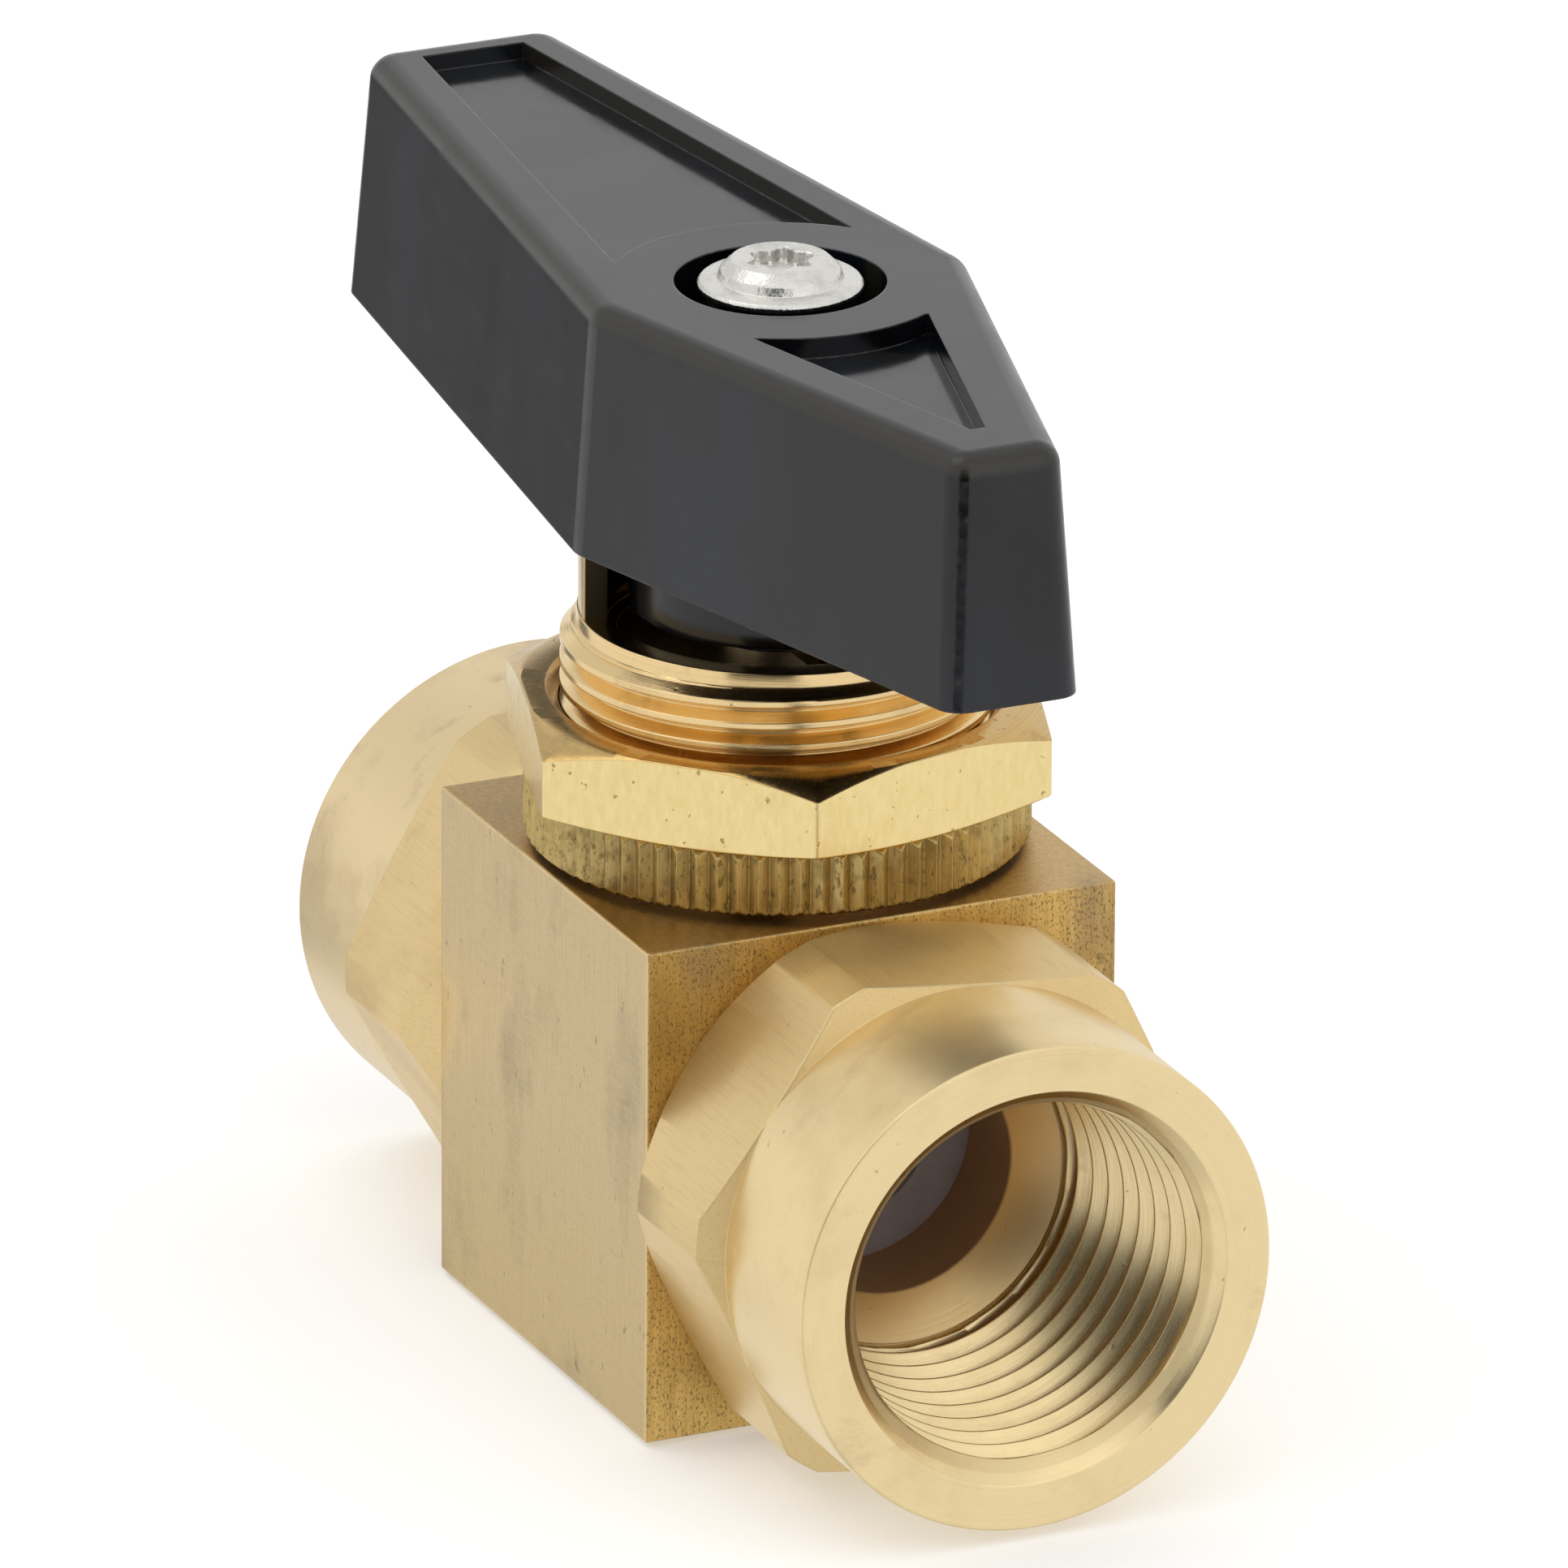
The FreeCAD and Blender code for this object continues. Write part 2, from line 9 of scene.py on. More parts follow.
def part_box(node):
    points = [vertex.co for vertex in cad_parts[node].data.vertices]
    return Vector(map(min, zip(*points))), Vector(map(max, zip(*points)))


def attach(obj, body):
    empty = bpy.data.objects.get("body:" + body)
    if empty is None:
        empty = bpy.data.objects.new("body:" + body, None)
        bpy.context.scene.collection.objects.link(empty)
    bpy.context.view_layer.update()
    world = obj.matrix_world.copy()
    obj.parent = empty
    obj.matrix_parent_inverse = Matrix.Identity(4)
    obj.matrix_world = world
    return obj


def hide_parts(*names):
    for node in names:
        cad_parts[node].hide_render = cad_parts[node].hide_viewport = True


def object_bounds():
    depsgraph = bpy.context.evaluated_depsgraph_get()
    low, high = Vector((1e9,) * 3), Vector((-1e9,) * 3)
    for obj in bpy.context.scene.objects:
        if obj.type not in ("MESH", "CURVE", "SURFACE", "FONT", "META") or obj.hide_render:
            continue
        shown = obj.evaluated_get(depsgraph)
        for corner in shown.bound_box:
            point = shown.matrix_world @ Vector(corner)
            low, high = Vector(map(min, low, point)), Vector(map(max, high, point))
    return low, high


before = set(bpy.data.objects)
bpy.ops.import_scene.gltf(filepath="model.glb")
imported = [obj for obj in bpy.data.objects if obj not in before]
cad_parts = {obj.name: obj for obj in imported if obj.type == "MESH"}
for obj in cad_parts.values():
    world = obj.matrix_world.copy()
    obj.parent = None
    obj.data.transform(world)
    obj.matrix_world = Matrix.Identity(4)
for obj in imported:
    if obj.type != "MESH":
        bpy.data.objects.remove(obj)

cad_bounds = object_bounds()

# Lengths below are in millimetres; meshes are scaled to metres when they are made.
MM = 0.001
TAU = 2 * math.pi
INCH = 25.4

# Points nearer than the first are one point, and faces thinner than the second are dropped.
SAME_POINT, THINNEST = 0.0005, 0.0001
# An open end of a turned piece stops this near its axis.
AXIS = 0.01


def span(node):
    """Lowest and highest corner of a CAD node, in millimetres."""
    low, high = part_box(node)
    return np.array(low) / MM, np.array(high) / MM


# ---- places read from the frame ---------------------------------------------------------

BODY_HIGH = span("body")[1]
CONNECTOR_LOW, CONNECTOR_HIGH = span("end_connector_rear")
RING_LOW, RING_HIGH = span("knurled_panel_ring")
NUT_LOW, NUT_HIGH = span("panel_hex_nut")
SCREW_LOW, SCREW_HIGH = span("handle_screw")
GLAND_TOP = span("gland_nut")[1][2]
SEAT_START = span("ball_seat_rear")[0][1]

HALF_SIDE, STOP_TOP = BODY_HIGH[0], BODY_HIGH[2]
PORT_HEIGHT = (CONNECTOR_LOW[2] + CONNECTOR_HIGH[2]) / 2
BLOCK_TOP = 2 * PORT_HEIGHT
CONNECTOR_END = CONNECTOR_HIGH[1]
SPIGOT_START = CONNECTOR_LOW[1]


# ---- mesh helpers -----------------------------------------------------------------------

def angles_with(count, breaks=()):
    """Evenly spaced angles round a full turn, with the given angles added exactly."""
    even = np.arange(count) * TAU / count
    extra = np.mod(np.array(breaks, float), TAU)
    return np.unique(np.round(np.concatenate([even, extra]), 9))


def ring_points(radius, height, angles):
    """One ring of points; radius and height are numbers or one value per angle."""
    radius = np.broadcast_to(radius, angles.shape)
    height = np.broadcast_to(height, angles.shape)
    return np.stack([radius * np.cos(angles), radius * np.sin(angles), height], axis=1)


def shade(mesh, crease):
    """Merge coincident points and shade smoothly, except over edges sharper than the crease."""
    bm = bmesh.new()
    bm.from_mesh(mesh)
    bmesh.ops.remove_doubles(bm, verts=bm.verts, dist=SAME_POINT * MM)
    bmesh.ops.dissolve_degenerate(bm, dist=THINNEST * MM, edges=bm.edges)
    bmesh.ops.recalc_face_normals(bm, faces=bm.faces)
    for face in bm.faces:
        face.smooth = True
    limit = math.radians(crease)
    for edge in bm.edges:
        edge.smooth = len(edge.link_faces) == 2 and edge.calc_face_angle(0) < limit
    bm.to_mesh(mesh)
    bm.free()


def mesh_piece(name, points, faces, crease=28):
    """A smooth-shaded object whose edges sharper than the crease angle stay sharp."""
    mesh = bpy.data.meshes.new(name)
    mesh.from_pydata((np.asarray(points, float) * MM).tolist(), [], faces)
    shade(mesh, crease)
    piece = bpy.data.objects.new(name, mesh)
    bpy.context.collection.objects.link(piece)
    return piece


def lathe_faces(rows, columns, closed, spiral):
    """Quads of a grid that wraps round its columns, and round its rows if closed.

    A spiral (first row, last row, rows per turn) climbs by one turn at the seam.
    """
    first, last, step = spiral
    faces = []
    for row in range(rows if closed else rows - 1):
        upper = (row + 1) % rows
        here, above = row * columns, upper * columns
        for column in range(columns - 1):
            faces.append((here + column, here + column + 1, above + column + 1, above + column))
        climbs = first <= row < last
        seam = min(row + step, last) if climbs else row
        upper_seam = min(upper + step, last) if climbs else upper
        corners = [here + columns - 1, seam * columns, upper_seam * columns, above + columns - 1]
        if seam == upper_seam:
            corners.pop(2)
        faces.append(tuple(corners))
    return faces


def lathe(name, rings, closed=True, crease=28, spiral=(0, -1, 0)):
    """A piece from rings of points: a closed profile loop, or open with both ends capped."""
    rows, columns = len(rings), len(rings[0])
    faces = lathe_faces(rows, columns, closed, spiral)
    if not closed:
        faces.append(tuple(range(columns)))
        faces.append(tuple(range((rows - 1) * columns, rows * columns)))
    return mesh_piece(name, np.concatenate(rings), faces, crease)


def unit(vector):
    """The same direction, of length 1."""
    return vector / np.linalg.norm(vector)


def rounded(corners, closed=True, steps=4):
    """Outline of (radius, height, rounding) corners with each rounding turned into an arc."""
    outline = []
    count = len(corners)
    for index, (radius, height, rounding) in enumerate(corners):
        here = np.array([radius, height])
        at_end = not closed and index in (0, count - 1)
        if not rounding or at_end:
            outline.append(here)
            continue
        back = unit(np.array(corners[index - 1][:2]) - here)
        on = unit(np.array(corners[(index + 1) % count][:2]) - here)
        half = math.acos(np.clip(back @ on, -1, 1)) / 2
        centre = here + unit(back + on) * rounding / math.sin(half)
        start = here + back * rounding / math.tan(half) - centre
        end = here + on * rounding / math.tan(half) - centre
        sweep = math.pi - 2 * half
        for step in range(steps + 1):
            share = step / steps
            outline.append(centre + (start * math.sin((1 - share) * sweep)
                                     + end * math.sin(share * sweep)) / math.sin(sweep))
    return outline


def turn_outline(outline, angles):
    """A ring of points for each point of an outline."""
    return [ring_points(radius, height, angles) for radius, height in outline]


def hexagon_reach(angles, apothem, corner, turn=0.0):
    """Distance to a hexagon's side at each angle, its corners cut off by a circle."""
    sector = np.mod(angles - turn, TAU / 6) - TAU / 12
    return np.minimum(apothem / np.cos(sector), corner)


def hexagon_breaks(apothem, corner, turn=0.0):
    """Angles of a hexagon's corners and of the edges of the circle's cuts."""
    cut = math.acos(apothem / corner)
    return [turn + TAU / 6 * side + TAU / 12 + offset
            for side in range(6) for offset in (-cut, 0, cut, TAU / 12)]


def lay_on_port(piece, towards):
    """Turn a piece built on Z so that its far end points along +Y or -Y at port height."""
    tilt = Matrix.Rotation(math.radians(-90), 4, "X")
    half_turn = Matrix.Rotation(0 if towards > 0 else math.pi, 4, "Z")
    lift = Matrix.Translation((0, 0, PORT_HEIGHT * MM))
    piece.data.transform(lift @ half_turn @ tilt)
    return piece


def cut_away(piece, cutters):
    """Subtract cutters from a piece and remove them; the result is the piece's own mesh."""
    for cutter in cutters:
        modifier = piece.modifiers.new("cut", "BOOLEAN")
        modifier.operation = "DIFFERENCE"
        modifier.solver = "EXACT"
        modifier.object = cutter
    graph = bpy.context.evaluated_depsgraph_get()
    mesh = bpy.data.meshes.new_from_object(piece.evaluated_get(graph))
    piece.modifiers.clear()
    piece.data = mesh
    for cutter in cutters:
        bpy.data.objects.remove(cutter)
    return piece


def soften(piece, width, segments=2, angle=40, harden=True):
    """Small rounded edges wherever faces meet more sharply than the angle."""
    merge = piece.modifiers.new("merge_flat", "DECIMATE")
    merge.decimate_type = "DISSOLVE"
    merge.angle_limit = math.radians(0.4)
    bevel = piece.modifiers.new("soft_edges", "BEVEL")
    bevel.width = width * MM
    bevel.segments = segments
    bevel.limit_method = "ANGLE"
    bevel.angle_limit = math.radians(angle)
    bevel.harden_normals = harden
    return piece


# ---- threads ----------------------------------------------------------------------------

class Thread:
    """A right-handed V thread: its depth by phase, and the rings that follow its helix."""

    def __init__(self, pitch, depth, crest, root, start):
        """Crest and root flats are shares of the pitch; start is a crest's height at angle 0."""
        half_crest, half_root = crest / 2, root / 2
        self.pitch, self.depth, self.start = pitch, depth, start
        self.stops = np.array([0, half_crest, 0.5 - half_root, 0.5 + half_root,
                               1 - half_crest, 1])
        self.depths = np.array([0, 0, depth, depth, 0, 0])

    def cut(self, height, angles):
        """Depth below the crest at each height and angle."""
        phase = np.mod((height - self.start) / self.pitch - angles / TAU, 1.0)
        return np.interp(phase, self.stops, self.depths)

    def phases(self, flank_steps):
        """Stations of one turn, closer together than the flats, without the last one."""
        stations = []
        for low, high in zip(self.stops[:-1], self.stops[1:]):
            steps = flank_steps if high - low > 0.2 else 2
            stations += list(np.linspace(low, high, steps, endpoint=False))
        return stations

    def rings(self, low, high, angles, radius_of, flank_steps=9):
        """Rings on the helix from low to high, and how many there are in a turn."""
        stations = self.phases(flank_steps)
        first = math.floor((low - self.start) / self.pitch) - 2
        last = math.ceil((high - self.start) / self.pitch) + 1
        rings = []
        for turn in range(first, last):
            for station in stations:
                height = self.start + (turn + station + angles / TAU) * self.pitch
                height = np.clip(height, low, high)
                rings.append(ring_points(radius_of(height, angles), height, angles))
        return rings, len(stations)


def ease(value, start, end):
    """Smooth step from 0 at start to 1 at end."""
    share = np.clip((value - start) / (end - start), 0, 1)
    return share * share * (3 - 2 * share)


# ---- metal pieces -----------------------------------------------------------------------

def make_connector(side, towards, turn):
    """End connector: spigot, hexagon with two chamfers, collar and tapered pipe thread.

    Towards is 1 for the rear and -1 for the front; turn is how far the hexagon has turned.
    """
    apothem, corner = 11.11, 12.35
    spigot, groove, groove_start = 9.0, 8.2, 10.3
    collar, collar_start, edge_break = 11.05, 19.28, 0.12
    hexagon_start, hexagon_end, nick = 12.85, 18.9, 0.06
    passage, floor, shelf_rise, shelf_edge = 5.45, 14.03, 1.4, 7.35
    relief, relief_depth = 7.5, 0.3
    mouth, countersink, taper, first_crest = 9.0, 0.48, 0.056, 2.27
    cone_depths, cone_radii = (countersink, 1.15, 1.6), (mouth - countersink, 7.85, 0.0)
    first_radius, run_out, run_in, relief_slope = 7.93, 0.5, 1.5, 1.2
    pitch = INCH / 18

    angles = angles_with(360, hexagon_breaks(apothem, corner, turn))
    reach = hexagon_reach(angles, apothem, corner, turn)
    rise = (corner - reach) / (corner - collar)
    rear_crease = hexagon_start - rise * (hexagon_start - HALF_SIDE)
    front_crease = hexagon_end + rise * (collar_start - hexagon_end)
    thread = Thread(pitch, 1.12, 0.05, 0.04, CONNECTOR_END - first_crest - pitch / 4)
    thread_low, thread_high = floor + 0.1, CONNECTOR_END - countersink

    def bore(height, angles):
        """Bore wall: the tapered thread, opened out near the mouth."""
        depth = CONNECTOR_END - height
        crest = first_radius - taper * (depth - first_crest)
        full = ease(height, thread_low, thread_low + run_out)
        full = full * ease(depth, countersink, run_in)
        wall = np.minimum(crest + full * thread.cut(height, angles), mouth + 0.02)
        wall = np.maximum(wall, relief - (height - thread_low) * relief_slope)
        return np.maximum(wall, np.interp(depth, cone_depths, cone_radii))

    rings = turn_outline(rounded([
        (passage, SPIGOT_START, 0), (passage, floor - shelf_rise, 0.04),
        (shelf_edge, floor, 0.04), (shelf_edge, floor - relief_depth, 0),
        (relief, floor - relief_depth, 0), (relief, thread_low, 0),
    ], closed=False), angles)
    spiral, step = thread.rings(thread_low, thread_high, angles, bore)
    first = len(rings)
    rings += spiral
    rings += turn_outline(rounded([
        (mouth - countersink, thread_high, 0), (mouth, CONNECTOR_END, 0.05),
        (collar, CONNECTOR_END, edge_break), (collar, collar_start, 0),
        (apothem, collar_start - 0.05, 0),
    ], closed=False), angles)[1:-1]
    rings.append(ring_points(reach - nick, front_crease + nick / 2, angles))
    rings.append(ring_points(reach, front_crease - nick, angles))
    rings.append(ring_points(reach, (rear_crease + front_crease) / 2, angles))
    rings.append(ring_points(reach, rear_crease + nick, angles))
    rings.append(ring_points(reach - nick, rear_crease - nick, angles))
    rings += turn_outline(rounded([
        (collar, HALF_SIDE, 0), (groove, HALF_SIDE, 0), (groove, groove_start, 0),
        (spigot, groove_start, 0), (spigot, SPIGOT_START, 0.2), (passage, SPIGOT_START, 0),
    ], closed=False), angles)[:-1]
    piece = lathe(f"connector_{side}", rings, spiral=(first, first + len(spiral) - 1, step))
    return lay_on_port(piece, towards)


def make_panel_nut():
    """Hexagon nut whose corners run out in shallow cones above and below."""
    bottom, top = NUT_LOW[2], NUT_HIGH[2]
    apothem, corner, turn = 11.1125, 12.79, math.radians(13.4)
    cone_top, cone_slope, under_start, under_slope = 11.2, 0.46, 10.8, 0.25
    bore, bore_chamfer = 9.56, 0.55
    nick = 0.05
    angles = angles_with(360, hexagon_breaks(apothem, corner, turn))
    reach = hexagon_reach(angles, apothem, corner, turn)
    crease = top - (reach - cone_top) * cone_slope
    crease = np.minimum(crease, top - 0.02)
    cone_start = np.minimum(cone_top, reach - 2 * nick)
    foot = bottom + (reach - under_start) * under_slope
    rings = turn_outline([(bore, bottom), (under_start, bottom)], angles)
    rings.append(ring_points(reach - nick, foot - nick * under_slope, angles))
    rings.append(ring_points(reach, foot + nick, angles))
    rings.append(ring_points(reach, (foot + crease) / 2, angles))
    rings.append(ring_points(reach, crease - nick, angles))
    rings.append(ring_points(reach - nick, crease, angles))
    rings.append(ring_points(cone_start, top, angles))
    rings += turn_outline([(bore + bore_chamfer, top), (bore, top - bore_chamfer)], angles)
    return lathe("panel_nut", rings)


def make_panel_ring():
    """Ring with a straight knurl of sharp teeth, turned off at both edges."""
    bottom, top = RING_LOW[2], RING_HIGH[2]
    outer, bore, teeth, depth = 11.08, 9.56, 76, 0.36
    chamfer, relief = 0.26, 0.27
    samples = 8
    angles = angles_with(teeth * samples)
    phase = np.abs(np.mod(angles * teeth / TAU, 1.0) - 0.5) * 2
    knurl = outer - depth * (1 - phase)
    rings = turn_outline([(bore, bottom), (outer - relief, bottom)], angles)
    for height in np.linspace(0, chamfer, 4):
        cone = outer - relief * (1 - height / chamfer)
        rings.append(ring_points(np.minimum(knurl, cone), bottom + height, angles))
    for height in np.linspace(chamfer, 0, 4):
        cone = outer - relief * (1 - height / chamfer)
        rings.append(ring_points(np.minimum(knurl, cone), top - height, angles))
    rings += turn_outline([(outer - relief, top), (bore, top)], angles)
    return lathe("panel_ring", rings, crease=20)


def make_neck():
    """Neck with a fine external thread, open at the top down to the gland nut."""
    core, crest, top, shoulder, lip = 9.4, 9.5, 33.37, 32.76, 8.8
    counterbore, gland, gland_floor = 7.6, 7.02, 27.4
    packing, packing_floor, stem = 5.02, 22.3, 3.06
    thread_start, crest_level, crest_angle = 28.4, 32.25, math.radians(-114.4)
    lead_in, run_out = 1.9, 0.5
    thread = Thread(1.0, 0.6, 0.27, 0.05, crest_level - crest_angle / TAU)
    base = BLOCK_TOP - 1.2
    angles = angles_with(360)

    def wall(height, angles):
        cone = lip + (shoulder - height) * lead_in
        full = ease(height, thread_start, thread_start + run_out)
        return np.minimum(crest - full * thread.cut(height, angles), cone)

    rings = turn_outline([(stem, base), (core, base), (core, thread_start)], angles)
    spiral, step = thread.rings(thread_start, shoulder, angles, wall)
    first = len(rings)
    rings += spiral
    rings += turn_outline(rounded([
        (lip, shoulder, 0), (lip - 0.02, top, 0.06), (counterbore, top, 0.08),
        (counterbore, GLAND_TOP, 0), (gland, GLAND_TOP, 0), (gland, gland_floor, 0),
        (packing, gland_floor, 0), (packing, packing_floor, 0), (stem, packing_floor, 0),
        (stem, base, 0),
    ], closed=False), angles)[1:-1]
    return lathe("neck", rings, spiral=(first, first + len(spiral) - 1, step))


def make_stop_wall():
    """Curved wall on the rear half of the neck, with flat ends that the lug meets."""
    inner, outer, face = 7.6, 8.7, 1.5
    foot, top, nick, steps = 32.9, STOP_TOP, 0.08, 72
    section = rounded([(inner, foot, 0), (outer, foot, 0), (outer, top, nick),
                       (inner, top, nick)])
    columns = []
    for share in np.linspace(0, 1, steps):
        for radius, height in section:
            start = math.asin(face / radius)
            angle = start + share * (math.pi - 2 * start)
            columns.append((radius * math.cos(angle), radius * math.sin(angle), height))
    size = len(section)
    faces = [(step * size + index, step * size + (index + 1) % size,
              (step + 1) * size + (index + 1) % size, (step + 1) * size + index)
             for step in range(steps - 1) for index in range(size)]
    faces.append(tuple(range(size)))
    faces.append(tuple(range((steps - 1) * size, steps * size)))
    return mesh_piece("stop_wall", columns, faces)


def threaded_plug(radius, low, high, chamfer):
    """Cutter for the bottom port: a female thread with a chamfered mouth."""
    angles = angles_with(96)
    thread = Thread(INCH / 27, 0.6, 0.06, 0.06, 0.2)

    def wall(height, angles):
        full = ease(height, chamfer / 2, 2 * chamfer)
        return np.maximum(radius + full * thread.cut(height, angles), radius + chamfer - height)

    rings, step = thread.rings(0.0, high, angles, wall, flank_steps=4)
    rings.insert(0, ring_points(radius + chamfer, low, angles))
    return lathe("bottom_cutter", rings, closed=False, spiral=(1, len(rings) - 1, step))


def make_block():
    """Square block with its cross bore, its stem bore and the tapped bottom port."""
    cavity, seat, seat_start, spigot = 7.1, 8.52, SEAT_START, 9.02
    stem_room, stem_ceiling = 4.8, 20.9
    tap, tap_chamfer, tap_overrun = 4.37, 0.55, 0.5
    corner_width, crease = 0.12, 10
    corners = [(x * HALF_SIDE, y * HALF_SIDE, z) for x in (-1, 1) for y in (-1, 1)
               for z in (0, BLOCK_TOP)]
    sides = [(0, 1, 3, 2), (4, 6, 7, 5), (0, 4, 5, 1), (2, 3, 7, 6), (0, 2, 6, 4),
             (1, 5, 7, 3)]
    block = mesh_piece("block", corners, sides)
    angles = angles_with(144)
    past_face = HALF_SIDE + 1
    half = [(AXIS, past_face), (spigot, past_face), (spigot, SPIGOT_START),
            (seat, SPIGOT_START), (seat, seat_start), (cavity, seat_start)]
    mirrored = [(radius, -station) for radius, station in reversed(half)]
    cross = lathe("cross_cutter", turn_outline(half + mirrored, angles), closed=False)
    lay_on_port(cross, 1)
    room = [(AXIS, PORT_HEIGHT), (stem_room, PORT_HEIGHT), (stem_room, stem_ceiling),
            (AXIS, stem_ceiling)]
    stem_cutter = lathe("stem_cutter", turn_outline(room, angles), closed=False)
    bottom = threaded_plug(tap, -tap_overrun, PORT_HEIGHT - cavity / 2, tap_chamfer)
    soften(block, corner_width, segments=4, harden=False)
    cut_away(block, [cross, stem_cutter, bottom])
    shade(block.data, crease)
    return block


def make_screw():
    """Flanged screw: low dome with a flat top, six-lobe recess, round shank."""
    shank_length, top, bottom = 9.5, SCREW_HIGH[2], SCREW_LOW[2]
    seat = bottom + shank_length
    flange = SCREW_HIGH[0] - 0.01
    shank, recess_mean, recess_wave, recess_depth = 1.45, 1.3, 0.18, 0.75
    angles = angles_with(360)
    lobes = recess_mean + recess_wave * np.cos(6 * angles)
    floor = top - recess_depth
    rings = [ring_points(0.02, floor - 0.25, angles), ring_points(0.7, floor, angles),
             ring_points(lobes - 0.1, floor + 0.06, angles),
             ring_points(lobes - 0.02, floor + 0.2, angles),
             ring_points(lobes, top - 0.2, angles),
             ring_points(lobes + 0.03, top - 0.09, angles),
             ring_points(lobes + 0.1, top - 0.03, angles),
             ring_points(lobes + 0.16, top - 0.03, angles)]
    rings += turn_outline(rounded([
        (1.75, top, 0), (2.12, top, 0.22), (2.62, seat + 0.84, 0.3), (2.76, seat + 0.45, 0.06),
        (3.0, seat + 0.42, 0), (3.5, seat + 0.34, 0.1), (flange, seat + 0.2, 0.08),
        (flange - 0.03, seat, 0.05), (shank, seat, 0), (shank, bottom + 0.4, 0),
        (shank - 0.4, bottom, 0), (0.02, bottom, 0),
    ], closed=False), angles)
    return lathe("screw", rings, closed=False, crease=24)


# ---- materials --------------------------------------------------------------------------

class Graph:
    """A material's node tree, written as nested calls."""

    def __init__(self, name):
        self.material = bpy.data.materials.new(name)
        self.material.use_nodes = True
        self.tree = self.material.node_tree
        self.tree.nodes.clear()

    def add(self, kind, output=0, inputs=None, **settings):
        """Make a node, set its properties and inputs, and return one of its outputs."""
        node = self.tree.nodes.new(f"ShaderNode{kind}")
        for name, value in settings.items():
            setattr(node, name, value)
        for name, value in (inputs or {}).items():
            if isinstance(value, bpy.types.NodeSocket):
                self.tree.links.new(value, node.inputs[name])
            else:
                node.inputs[name].default_value = value
        return node.outputs[output] if node.outputs else None

    def math(self, operation, first, second=0.0):
        """One Math node."""
        return self.add("Math", inputs={0: first, 1: second}, operation=operation)

    def times(self, first, second):
        return self.math("MULTIPLY", first, second)

    def plus(self, first, second):
        return self.math("ADD", first, second)

    def split(self, vector):
        """A vector's three components."""
        node = self.tree.nodes.new("ShaderNodeSeparateXYZ")
        self.tree.links.new(vector, node.inputs[0])
        return tuple(node.outputs)

    def facing(self):
        """The face normal's three components."""
        return self.split(self.add("NewGeometry", output="Normal"))

    def position(self):
        """Millimetres in the piece's own space."""
        place = self.add("TexCoord", output="Object")
        return self.add("VectorMath", inputs={0: place, 1: (1000, 1000, 1000)},
                        operation="MULTIPLY")

    def stretched(self, place, scale, shift=(0.0, 0.0, 0.0)):
        """Coordinates scaled by axis and then shifted."""
        return self.add("Mapping", inputs={"Vector": place, "Scale": scale, "Location": shift})

    def noise(self, place, scale, detail=3.0, rough=0.55):
        """Noise between 0 and 1, most of it near 0.5."""
        return self.add("TexNoise", inputs={"Vector": place, "Scale": scale, "Detail": detail,
                                            "Roughness": rough})

    def remap(self, value, low, high, start=0.0, end=1.0):
        """Carry low to start and high to end, and stop there."""
        return self.add("MapRange", inputs={"Value": value, "From Min": low, "From Max": high,
                                            "To Min": start, "To Max": end}, clamp=True)

    def mix(self, share, first, second):
        """Blend two colours; each is a colour or a socket."""
        node = self.tree.nodes.new("ShaderNodeMix")
        node.data_type = "RGBA"
        slots = {"Factor_Float": share, "A_Color": first, "B_Color": second}
        for socket in node.inputs:
            value = slots.get(socket.identifier)
            if value is None:
                continue
            if isinstance(value, bpy.types.NodeSocket):
                self.tree.links.new(value, socket)
            else:
                socket.default_value = value
        return next(out for out in node.outputs if out.identifier == "Result_Color")

    def polar(self, place, axis):
        """Coordinates (radius, station, angle) about the stem (Z) or the port axis (Y)."""
        across, ahead, above = self.split(place)
        if axis == "Y":
            other, station = self.math("SUBTRACT", above, PORT_HEIGHT), ahead
        else:
            other, station = ahead, above
        squares = self.plus(self.times(across, across), self.times(other, other))
        return self.add("CombineXYZ", inputs={
            0: self.math("SQRT", squares), 1: station,
            2: self.math("ARCTAN2", other, across)})

    def edges(self, radius):
        """A normal softened over a small radius, and how much an edge it is, 0 to 1."""
        soft = self.add("Bevel", inputs={"Radius": radius * MM}, samples=6)
        flat = self.add("NewGeometry", output="Normal")
        match = self.add("VectorMath", output="Value", inputs={0: soft, 1: flat},
                         operation="DOT_PRODUCT")
        return soft, self.remap(match, 0.995, 0.8)

    def bump(self, height, strength, distance, normal=None):
        """A normal tilted by a height; the distance is in millimetres."""
        inputs = {"Height": height, "Strength": strength, "Distance": distance * MM}
        if normal is not None:
            inputs["Normal"] = normal
        return self.add("Bump", inputs=inputs)

    def finish(self, **inputs):
        """Close the graph with one principled shader."""
        named = {name.replace("_", " "): value for name, value in inputs.items()}
        shader = self.add("BsdfPrincipled", inputs=named)
        self.add("OutputMaterial", inputs={"Surface": shader})
        return self.material


def colour(red, green, blue):
    """An opaque colour."""
    return (red, green, blue, 1.0)


def tint(g, tone, share, strength, other):
    """Blend another colour over a tone where share is high."""
    return g.mix(g.times(share, strength), tone, colour(*other))


